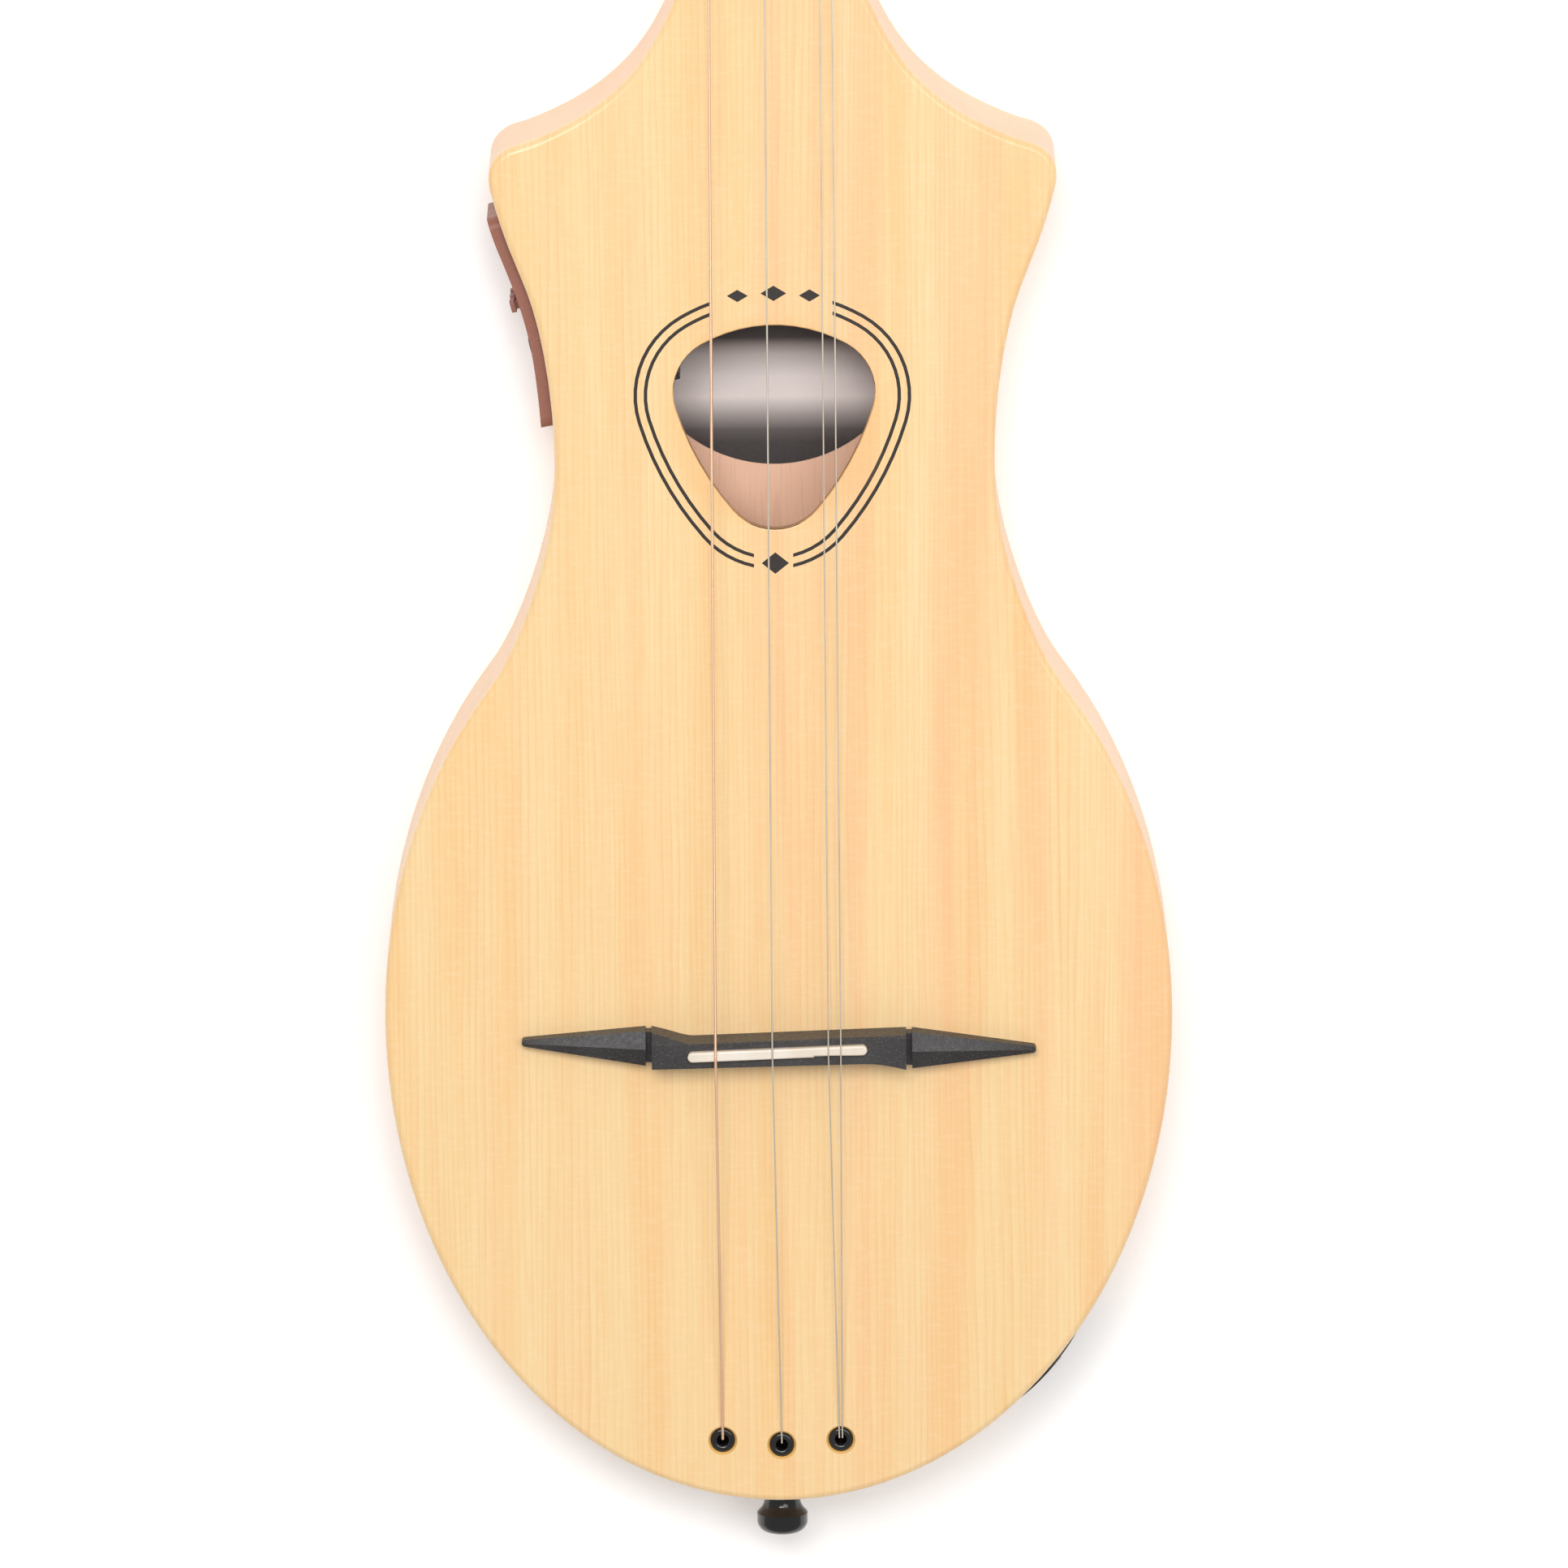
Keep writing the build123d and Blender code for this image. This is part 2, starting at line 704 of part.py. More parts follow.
with BuildPart() as coin_cells:
    for side in (-1, 1):
        shift = side * (cell_thickness + cell_gap) / 2
        with Locations(panel_plane * Location((door_x + shift, 0, cell_depth), (0, 90, 0))):
            Cylinder(cell_radius, cell_thickness)

# ---------------------------------------------------------------- output jack
screw_seat = -0.6
plate_screw_head = 0.8
nut_seat = 0.7
socket_end = 2.9
barrel_radius = 4.7
collar_radius = 7.0
nut_recess_radius = 6.8
washer_radius = 6.3
washer_thickness = 0.5
nut_half_width = 5.6
hex_thickness = 1.6
plate_screw_radius = 2.5
plate_screw_cross = (3.2, 0.7)
contact_level = -13.6
contact_block = 13.0
contact_thickness = 1.4
contact_length = 14.0
with BuildPart() as jack_plate:
    add(side_strip(lower_bout, jack_plate_height + 2, jack_plate_proud, 1))
    with BuildSketch(jack_plane.offset(-20)):
        Ellipse(jack_plate_length / 2, jack_plate_height / 2)
    extrude(amount=40, mode=Mode.INTERSECT)
    with BuildSketch(jack_plane.offset(10)):
        Circle(barrel_radius + 0.15)
        with Locations(*jack_screws):
            Circle(1.6)
    extrude(amount=-30, mode=Mode.SUBTRACT)
    with BuildSketch(jack_plane.offset(10)):
        Circle(nut_recess_radius)
    extrude(amount=nut_seat - 10, mode=Mode.SUBTRACT)
    with BuildSketch(jack_plane.offset(10)):
        with Locations(*jack_screws):
            Circle(plate_screw_radius + 0.2)
    extrude(amount=screw_seat - 10, mode=Mode.SUBTRACT)

with BuildPart() as jack_plate_screws:
    with BuildSketch(jack_plane.offset(screw_seat)):
        with Locations(*jack_screws):
            Circle(plate_screw_radius)
    extrude(amount=plate_screw_head)
    with BuildSketch(jack_plane.offset(screw_seat)):
        with Locations(*jack_screws):
            Circle(1.4)
    extrude(amount=-11)
    with BuildSketch(jack_plane.offset(screw_seat + plate_screw_head)):
        with Locations(*jack_screws):
            Rectangle(*plate_screw_cross)
            Rectangle(*reversed(plate_screw_cross))
    extrude(amount=-plate_screw_head / 2, mode=Mode.SUBTRACT)

plug_radius = 3.25
barrel_length = 16.4
with BuildPart() as jack_socket:
    with BuildSketch(jack_plane.offset(socket_end)):
        Circle(barrel_radius)
    extrude(amount=-barrel_length)
    with BuildSketch(jack_plane.offset(-1.0)):
        Circle(collar_radius)
    extrude(amount=-2.0)
    with BuildSketch(jack_plane.offset(socket_end)):
        Circle(plug_radius)
    extrude(amount=-barrel_length, mode=Mode.SUBTRACT)

with BuildPart() as jack_nut:
    with BuildSketch(jack_plane.offset(nut_seat)):
        Circle(washer_radius)
        Circle(barrel_radius + 0.1, mode=Mode.SUBTRACT)
    extrude(amount=washer_thickness)
    with BuildSketch(jack_plane.offset(nut_seat + washer_thickness)):
        RegularPolygon(nut_half_width, 6, major_radius=False)
        Circle(barrel_radius + 0.1, mode=Mode.SUBTRACT)
    extrude(amount=hex_thickness)

with BuildPart() as jack_contacts:
    with BuildSketch(jack_plane.offset(contact_level)):
        Rectangle(contact_block, contact_block)
        Circle(plug_radius + 0.2, mode=Mode.SUBTRACT)
    extrude(amount=-contact_thickness)
    with BuildSketch(jack_plane.offset(contact_level - contact_thickness)):
        with Locations((0, 5.6), (0, -5.6)):
            Rectangle(4.0, 0.6)
    extrude(amount=-contact_length)

# ---------------------------------------------------------------- leads inside the chamber
lead_entry = -housing_length / 2
with BuildPart() as pickup_lead:
    with BuildLine() as pickup_route:
        Spline(
            (bridge_hole[0], along(bridge_hole[1]), slot_bottom - 0.1),
            (bridge_hole[0], along(bridge_hole[1]), 29),
            (12, along(136), 21),
            (-18, along(172), 20),
            (-37, along(215), 20),
            (-39, along(256), 21),
            panel_plane.from_local_coords(Vector(lead_entry, -4, -21)),
            tangents=[(0, 0, -1), panel_plane.x_dir],
            tangent_scalars=[0.3, 0.3],
        )
    with BuildSketch(Plane(origin=pickup_route.line @ 0, z_dir=pickup_route.line % 0)):
        Circle(0.7)
    sweep()

with BuildPart() as output_lead:
    with BuildLine() as output_route:
        Spline(
            jack_plane.from_local_coords(Vector(0, 5.6, -29.3)),
            (28, along(86), 11),
            (0, along(128), 10),
            (-28, along(172), 10),
            (-40, along(215), 10),
            (-40, along(256), 11),
            panel_plane.from_local_coords(Vector(lead_entry, 6, -20)),
            tangents=[-jack_plane.z_dir, panel_plane.x_dir],
            tangent_scalars=[0.3, 0.3],
        )
    with BuildSketch(Plane(origin=output_route.line @ 0, z_dir=output_route.line % 0)):
        Circle(1.1)
    sweep()

# ---------------------------------------------------------------- neck
neck_width_body = 37.6
neck_width_nut = 36.8


def neck_profile(width, depth, shoulder_depth):
    """Flat-topped neck section in the current plane, its top edge on y = 0."""
    half = width / 2
    with BuildSketch(mode=Mode.PRIVATE) as section:
        with BuildLine():
            Line((-half, 0), (half, 0))
            Line((half, 0), (half, -shoulder_depth))
            Spline(
                (half, -shoulder_depth),
                (half * 0.72, -depth * 0.86),
                (0, -depth),
                (-half * 0.72, -depth * 0.86),
                (-half, -shoulder_depth),
                tangents=[(0, -1), (0, 1)],
            )
            Line((-half, -shoulder_depth), (-half, 0))
        make_face()
    return section.sketch


def cross_plane(station):
    """Plane across the instrument at a station, its origin on the neck's flat top."""
    return Plane((0, along(station), body_depth), x_dir=(1, 0, 0), z_dir=(0, -1, 0))


with BuildPart() as neck:
    # heel, from the full depth of the body to the depth of the neck
    with BuildSketch(cross_plane(body_end)):
        add(neck_profile(40.8, body_depth - 0.4, 30.0))
    with BuildSketch(cross_plane(body_end + 12)):
        add(neck_profile(39.0, 33.0, 21.0))
    with BuildSketch(cross_plane(body_end + 30)):
        add(neck_profile(37.8, 22.5, 6.0))
    with BuildSketch(cross_plane(body_end + 46)):
        add(neck_profile(neck_width_body, 19.0, 3.0))
    loft()
    # shaft
    with BuildSketch(cross_plane(body_end + 46)):
        add(neck_profile(neck_width_body, 19.0, 3.0))
    with BuildSketch(cross_plane(nut_station - 14)):
        add(neck_profile(neck_width_nut, 15.5, 3.0))
    loft()
    # volute between the shaft and the headstock
    with BuildSketch(cross_plane(nut_station - 14)):
        add(neck_profile(neck_width_nut, 15.5, 3.0))
    with BuildSketch(cross_plane(head_station + 4)):
        with Locations((0, -8.6)):
            Rectangle(neck_width_nut + 1, 16.0)
    loft()
    # tenon inside the body
    with BuildSketch(Plane.XY.offset(tenon_bottom)):
        with Locations((0, along((tenon_start + body_end) / 2 + 0.6))):
            Rectangle(tenon_width, body_end - tenon_start)
    extrude(amount=shell_height - tenon_bottom)
    # headstock, angled back
    with BuildSketch(head_plane):
        with BuildLine():
            Polyline((0, 0), (neck_width_nut / 2, 0), (neck_width_nut / 2 + 0.6, 4))
            Spline(
                (neck_width_nut / 2 + 0.6, 4),
                (25.0, 18),
                (27.5, 40),
                (27.5, 84),
                (23.0, 104),
                tangents=[(0.15, 1), (-0.35, 1)],
            )
            Spline((23.0, 104), (12.0, 115.5), (0, head_length), tangents=[(-0.35, 1), (-1, 0)])
            mirror(about=Plane.YZ)
        make_face()
    extrude(amount=-head_thickness)

# ---------------------------------------------------------------- tuners
post_u = 18.5
post_rows = (32.0, 84.0)
post_radius = 3.0
journal_radius = 2.0
bushing_radius = 4.2
gear_teeth = 14
gear_module = 0.6
gear_pitch_radius = gear_teeth * gear_module / 2
gear_outer = gear_pitch_radius + 0.5
gear_width = 2.6
gear_level = -head_thickness - 4.6
worm_pitch_radius = 2.0
worm_offset = gear_pitch_radius + worm_pitch_radius + 0.15
worm_core = 1.4
worm_crest = 2.5
tooth_pitch = pi * gear_module
lead_angle = degrees(atan2(tooth_pitch, 2 * pi * worm_pitch_radius))
shaft_radius = 1.5
housing_base = -head_thickness - 8.4
button_start = 13.2
button_end = 26.0

with BuildPart(head_plane, mode=Mode.PRIVATE) as post_holes:
    for side in (-1, 1):
        for row in post_rows:
            with Locations((side * post_u, row, 0)):
                Cylinder(3.5, 60)
                Cylinder(bushing_radius, 16)
            with Locations((side * (post_u - 4.5), row - 9.4, -head_thickness)):
                Cylinder(1.0, 16)

with BuildPart() as neck_finished:
    add(neck.part)
    add(post_holes.part, mode=Mode.SUBTRACT)

# one right-hand worm on its shaft, along X, and its mirror image for the other side
thread_turns = 4
thread_start = -thread_turns / 2 * tooth_pitch
worm_half = -thread_start + 0.5
thread_height = worm_crest - worm_core
with BuildPart() as upright_worm:
    with BuildSketch(Plane.XY.offset(-worm_half)):
        Circle(worm_core)
    extrude(amount=2 * worm_half)
    with BuildLine(mode=Mode.PRIVATE) as thread:
        Helix(tooth_pitch, thread_turns * tooth_pitch, worm_core - 0.1, center=(0, 0, thread_start))
    with BuildSketch(Plane(origin=thread.line @ 0, x_dir=(1, 0, 0), z_dir=thread.line % 0)):
        with BuildLine():
            Polyline(
                (0, -0.56),
                (thread_height + 0.1, -0.27),
                (thread_height + 0.1, 0.27),
                (0, 0.56),
                close=True,
            )
        make_face()
    sweep(path=thread.line, is_frenet=True)
    with BuildSketch(Plane.XY.offset(worm_half)):
        Circle(shaft_radius)
    extrude(amount=button_start + 6 - worm_half)
    with BuildSketch(Plane.XY.offset(-worm_half)):
        Circle(1.1)
    extrude(amount=-1.6)

# laid along X, with the start of the thread turned towards the gear
with BuildPart() as worm_blank:
    laid = Plane((0, worm_offset, gear_level), x_dir=(0, -1, 0), z_dir=(1, 0, 0))
    with Locations(laid.location):
        add(upright_worm.part)

with BuildPart() as gear_gap:
    with BuildSketch(Plane.XY.offset(-gear_width)):
        with BuildLine():
            Polyline(
                (gear_outer - 1.15, -0.45),
                (gear_outer + 0.3, -0.82),
                (gear_outer + 0.3, 0.82),
                (gear_outer - 1.15, 0.45),
                close=True,
            )
        make_face()
    extrude(amount=2 * gear_width)

with BuildPart() as gear_blank:
    with BuildSketch(Plane.XY.offset(-gear_width / 2)):
        Circle(gear_outer)
        Circle(journal_radius, mode=Mode.SUBTRACT)
    extrude(amount=gear_width)
    with PolarLocations(0, gear_teeth, start_angle=90):
        add(gear_gap.part, rotation=(-lead_angle, 0, 0), mode=Mode.SUBTRACT)

post_top = 13.0
waist_low = 5.8
waist_high = 10.4
waist_radius = 2.6
hole_level = 9.2
with BuildPart() as post_blank:
    with BuildSketch(Plane.XZ):
        with BuildLine():
            Polyline(
                (0, gear_level - gear_width / 2 - 1.0),
                (journal_radius, gear_level - gear_width / 2 - 1.0),
                (journal_radius, gear_level + gear_width / 2 + 0.2),
                (post_radius, gear_level + gear_width / 2 + 0.2),
                (post_radius, waist_low - 0.6),
                (waist_radius, waist_low),
                (waist_radius, waist_high),
                (post_radius, waist_high + 0.6),
                (post_radius, post_top - 0.6),
                (post_radius - 0.6, post_top),
                (0, post_top),
                close=True,
            )
        make_face()
    revolve(axis=Axis.Z)
    with BuildSketch(Plane.XZ.offset(-5)):
        with Locations((0, hole_level)):
            Circle(0.7)
    extrude(amount=10, mode=Mode.SUBTRACT)

with BuildPart() as button_blank:
    with BuildSketch(Plane((button_start, worm_offset, gear_level), x_dir=(0, 1, 0), z_dir=(1, 0, 0))):
        Circle(3.2)
    with BuildSketch(Plane((button_start + 4.6, worm_offset, gear_level), x_dir=(0, 1, 0), z_dir=(1, 0, 0))):
        RectangleRounded(11.0, 6.4, 3.1)
    with BuildSketch(Plane((button_end, worm_offset, gear_level), x_dir=(0, 1, 0), z_dir=(1, 0, 0))):
        RectangleRounded(13.6, 6.4, 3.1)
    loft()
    fillet(faces().sort_by(Axis.X)[-1].edges(), 1.4)
    with BuildSketch(Plane((button_start, worm_offset, gear_level), z_dir=(1, 0, 0))):
        Circle(shaft_radius)
    extrude(amount=6, mode=Mode.SUBTRACT)

housing_top = -head_thickness
cavity_top = housing_top - 2.0
cavity_bottom = housing_base + 0.8
with BuildPart() as housing_blank:
    with BuildSketch(Plane.XY.offset(housing_top)):
        with Locations((0, 1.8)):
            RectangleRounded(15.0, 16.6, 2.0)
        with Locations((-4.5, -8.0)):
            RectangleRounded(5.4, 7.4, 2.6)
    extrude(amount=-1.6)
    with BuildSketch(Plane.XY.offset(housing_top)):
        with Locations((0, 1.8)):
            RectangleRounded(15.0, 16.6, 2.0)
    extrude(amount=cavity_bottom - housing_top)
    with BuildSketch(Plane.XY.offset(housing_top)):
        Circle(post_radius + 0.05)
        with Locations((-4.5, -9.4)):
            Circle(1.1)
    extrude(amount=-3, mode=Mode.SUBTRACT)
    with BuildSketch(Plane.XY.offset(cavity_top)):
        Circle(gear_outer + 0.4)
        with Locations((0, worm_offset)):
            Rectangle(2 * worm_half + 0.6, 2 * worm_crest + 0.6)
    extrude(amount=cavity_bottom - cavity_top, mode=Mode.SUBTRACT)
    with BuildSketch(Plane((0, worm_offset, gear_level), z_dir=(1, 0, 0))):
        Circle(shaft_radius + 0.05)
    extrude(amount=12, mode=Mode.SUBTRACT)
    with BuildSketch(Plane((0, worm_offset, gear_level), z_dir=(-1, 0, 0))):
        Circle(1.15)
    extrude(amount=6.6, mode=Mode.SUBTRACT)

with BuildPart() as cover_blank:
    with BuildSketch(Plane.XY.offset(cavity_bottom)):
        with Locations((0, 1.8)):
            RectangleRounded(15.0, 16.6, 2.0)
    extrude(amount=housing_base - cavity_bottom)
    fillet(faces().sort_by(Axis.Z)[0].edges(), 0.5)

with BuildPart() as bushing_blank:
    with BuildSketch():
        Circle(6.0)
    extrude(amount=1.6)
    fillet(faces().sort_by(Axis.Z)[-1].edges(), 0.6)
    with BuildSketch():
        Circle(bushing_radius)
    extrude(amount=-8)
    with BuildSketch(Plane.XY.offset(2)):
        Circle(post_radius + 0.05)
    extrude(amount=-12, mode=Mode.SUBTRACT)

with BuildPart() as screw_blank:
    with BuildSketch(Plane.XZ):
        with BuildLine():
            Polyline(
                (0, housing_top - 3.0),
                (1.2, housing_top - 3.0),
                (2.2, housing_top - 2.2),
                (2.2, housing_top - 1.6),
                (1.0, housing_top - 1.6),
                (1.0, housing_top + 6.0),
                (0, housing_top + 7.6),
                close=True,
            )
        make_face()
    revolve(axis=Axis.Z)
    with BuildSketch(Plane.XY.offset(housing_top - 3.0)):
        Rectangle(0.5, 2.6)
        Rectangle(2.6, 0.5)
    extrude(amount=0.7, mode=Mode.SUBTRACT)


def on_headstock(blank, spots, level=0.0):
    """Copies of a tuner piece at (side, row) places on the headstock, mirrored on the left."""
    with BuildPart(head_plane) as placed:
        for side, row in spots:
            with BuildPart(mode=Mode.PRIVATE) as handed:
                add(blank.part)
                if side < 0:
                    mirror(about=Plane.YZ, mode=Mode.REPLACE)
            with Locations((side * post_u, row, level)):
                add(handed.part)
    return placed


# string order, bass to treble: near left, far left, far right, near right
tuner_spots = (
    (-1, post_rows[0]),
    (-1, post_rows[1]),
    (1, post_rows[1]),
    (1, post_rows[0]),
)
tuner_housings = on_headstock(housing_blank, tuner_spots)
tuner_covers = on_headstock(cover_blank, tuner_spots)
tuner_bushings = on_headstock(bushing_blank, tuner_spots)
with BuildPart() as screw_shifted:
    with Locations((-4.5, -9.4, 0)):
        add(screw_blank.part)
tuner_screws = on_headstock(screw_shifted, tuner_spots)
worms = [on_headstock(worm_blank, [spot]) for spot in tuner_spots]
tuner_buttons = [on_headstock(button_blank, [spot]) for spot in tuner_spots]
posts = [on_headstock(post_blank, [spot]) for spot in tuner_spots]
gears = [on_headstock(gear_blank, [spot], gear_level) for spot in tuner_spots]

# ---------------------------------------------------------------- fingerboard, frets and nut
fret_steps = (2, 4, 5, 7, 9, 10, 11, 12)
fret_height = 1.0
fret_half = 1.2
tang_depth = 1.6
tang_half = 0.3


def fret_station(step):
    """Station of a fret a number of semitones above the open string."""
    return nut_station - scale_length * (1 - 2 ** (-step / 12))


def board_width(station):
    """Width of the fingerboard at a station."""
    share = (nut_station - station) / (nut_station - fingerboard_start)
    return neck_width_nut + share * (neck_width_body + 0.6 - neck_width_nut)


marker_radius = 2.8
marker_depth = 1.2
marker_places = [(0, 4, 5), (0, 7, 9), (-8, 11, 12), (8, 11, 12)]
marker_spots = [
    (x, along((fret_station(low) + fret_station(high)) / 2), fingerboard_top)
    for x, low, high in marker_places
]
with BuildPart() as fret_markers:
    for spot in marker_spots:
        with BuildSketch(Plane(spot)):
            Circle(marker_radius)
        extrude(amount=-marker_depth)

with BuildPart() as frets:
    for step in fret_steps:
        station = fret_station(step)
        width = board_width(station) - 0.3
        end_plane = Plane((-width / 2, along(station), fingerboard_top), x_dir=(0, 1, 0), z_dir=(1, 0, 0))
        with BuildSketch(end_plane):
            with BuildLine():
                ThreePointArc((-fret_half, 0), (0, fret_height), (fret_half, 0))
                Line((fret_half, 0), (tang_half, 0))
                Line((tang_half, 0), (tang_half, -tang_depth))
                Line((tang_half, -tang_depth), (-tang_half, -tang_depth))
                Line((-tang_half, -tang_depth), (-tang_half, 0))
                Line((-tang_half, 0), (-fret_half, 0))
            make_face()
        extrude(amount=width)

with BuildPart() as fingerboard:
    with BuildSketch(Plane.XY.offset(body_depth)):
        with BuildLine():
            Polyline(
                (-board_width(fingerboard_start) / 2, along(fingerboard_start)),
                (board_width(fingerboard_start) / 2, along(fingerboard_start)),
                (board_width(nut_station) / 2, along(nut_station)),
                (-board_width(nut_station) / 2, along(nut_station)),
                close=True,
            )
        make_face()
    extrude(amount=fingerboard_thickness)
    fillet(edges().group_by(Axis.Z)[-1].filter_by(lambda e: e.length > 100), 0.6)
    for step in fret_steps:
        with BuildSketch(Plane.XY.offset(fingerboard_top)):
            with Locations((0, along(fret_station(step)))):
                Rectangle(2 * neck_width_body, 2 * tang_half)
        extrude(amount=-tang_depth, mode=Mode.SUBTRACT)
    add(fret_markers.part, mode=Mode.SUBTRACT)

with BuildPart() as nut:
    with BuildSketch(Plane.XY.offset(body_depth)):
        with Locations((0, along(nut_station + nut_thickness / 2))):
            Rectangle(neck_width_nut, nut_thickness)
    extrude(amount=nut_top + 0.5 - body_depth)
    fillet(edges().filter_by(Axis.X).group_by(Axis.Z)[-1], 1.2)
    for x, radius in zip(nut_strings, string_radii):
        with Locations((x, along(nut_station), nut_top + 1)):
            Box(2 * radius + 0.16, 3 * nut_thickness, 2, mode=Mode.SUBTRACT)

# ---------------------------------------------------------------- strings
exit_height = body_depth + 0.2
exit_shift = 0.85
ball_seat = 1.4
coil_gap = 0.12
coil_start = 6.6
coil_turns = 2.5


def coil(radius, coil_radius, left_handed):
    """Coils of one string about Z, starting on +X."""
    rise = 2 * radius + 0.06
    with BuildPart() as turns:
        with BuildLine() as route:
            Helix(rise, rise * coil_turns, coil_radius, lefthand=left_handed)
        with BuildSketch(Plane(origin=route.line @ 0, z_dir=route.line % 0)):
            Circle(radius)
        sweep(is_frenet=True)
    return turns.part


def string(number):
    """Taut string from its ball end over saddle and nut to the coils round its post."""
    radius = string_radii[number]
    side, row = tuner_spots[number]
    ball_x, ball_station = ball_points[number]
    exit_x, exit_station = string_exits[number]
    saddle_x = saddle_strings[number]
    saddle_y = along(saddle_station) + (saddle_x + 0.4) * sin(radians(saddle_slant))
    coil_radius = waist_radius + coil_gap + radius
    coil_point = head_plane.from_local_coords(Vector(side * (post_u - coil_radius), row, coil_start))
    with BuildPart() as wire:
        with BuildLine() as route:
            Polyline(
                (ball_x, along(ball_station), ball_height - ball_seat),
                (exit_x, along(exit_station) + exit_shift, exit_height + radius),
                (saddle_x, saddle_y, saddle_top + radius + 0.08),
                (nut_strings[number], along(head_station - 0.2), nut_top + radius + 0.05),
                coil_point,
            )
        with BuildSketch(Plane(origin=route.line @ 0, z_dir=route.line % 0)):
            Circle(radius)
        sweep(transition=Transition.RIGHT)
        turned = Location((side * post_u, row, coil_start), (0, 0, 90 + 90 * side))
        with Locations(head_plane.location * turned):
            add(coil(radius, coil_radius, side > 0))
    return wire


strings = [string(number) for number in range(4)]

# ---------------------------------------------------------------- output
pieces = {
    "body_shell": body_shell,
    "soundboard": soundboard,
    "transverse_braces": transverse_braces,
    "label": label,
    "bridge": bridge,
    "saddle": saddle,
    "pickup_strip": pickup_strip,
    "top_ferrules": top_ferrules,
    "back_ferrules": back_ferrules,
    "ball_ends": ball_ends,
    "strap_button": strap_button,
    "strap_button_screw": strap_button_screw,
    "preamp_panel": preamp_panel,
    "preamp_housing": preamp_housing,
    "circuit_board": circuit_board,
    "volume_slider": volume_slider,
    "bass_slider": bass_slider,
    "treble_slider": treble_slider,
    "tuner_switch": tuner_switch,
    "display_window": display_window,
    "battery_tray": battery_tray,
    "coin_cells": coin_cells,
    "panel_screws": panel_screws,
    "jack_plate": jack_plate,
    "jack_plate_screws": jack_plate_screws,
    "jack_socket": jack_socket,
    "jack_nut": jack_nut,
    "jack_contacts": jack_contacts,
    "pickup_lead": pickup_lead,
    "output_lead": output_lead,
    "neck": neck_finished,
    "fingerboard": fingerboard,
    "nut": nut,
    "frets": frets,
    "fret_markers": fret_markers,
    "tuner_housings": tuner_housings,
    "tuner_covers": tuner_covers,
    "tuner_bushings": tuner_bushings,
    "tuner_screws": tuner_screws,
}
for family, members in (
    ("string", strings),
    ("worm", worms),
    ("tuner_button", tuner_buttons),
    ("post", posts),
    ("gear", gears),
):
    for number, member in enumerate(members, start=1):
        pieces[f"{family}_{number}"] = member

os.makedirs("parts", exist_ok=True)
for name, piece in pieces.items():
    piece.part.label = name
    export_step(piece.part, f"parts/{name}.step")
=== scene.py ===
import json
import math
import bmesh
import bpy
from mathutils import Matrix, Vector


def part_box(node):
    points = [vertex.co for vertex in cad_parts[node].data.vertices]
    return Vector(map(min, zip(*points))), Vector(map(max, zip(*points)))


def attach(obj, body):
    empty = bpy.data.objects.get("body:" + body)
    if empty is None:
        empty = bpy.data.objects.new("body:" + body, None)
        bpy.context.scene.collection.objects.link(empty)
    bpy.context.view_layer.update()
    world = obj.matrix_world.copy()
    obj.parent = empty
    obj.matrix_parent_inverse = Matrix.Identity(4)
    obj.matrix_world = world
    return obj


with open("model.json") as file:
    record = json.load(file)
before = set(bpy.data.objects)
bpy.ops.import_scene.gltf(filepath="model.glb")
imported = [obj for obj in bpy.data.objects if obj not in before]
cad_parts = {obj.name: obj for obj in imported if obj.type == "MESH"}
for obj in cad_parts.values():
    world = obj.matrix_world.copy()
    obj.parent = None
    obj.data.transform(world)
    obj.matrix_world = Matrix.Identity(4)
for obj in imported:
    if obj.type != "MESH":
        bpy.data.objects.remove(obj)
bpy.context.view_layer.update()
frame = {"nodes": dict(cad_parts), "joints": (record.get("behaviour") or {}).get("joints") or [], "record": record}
nodes_by_name = frame["nodes"]
joints = {joint["name"]: joint for joint in frame["joints"]}

MM = 0.001
BODY = "instrument"

# ---------------------------------------------------------------- places read from the frame
board_low, board_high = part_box("soundboard")
top_z = board_high[2]
TAIL_STATION = -1.0


def along(station):
    """Y of a station in millimetres; the tail of the body is at the tail station."""
    return board_low[1] + (station - TAIL_STATION) * MM


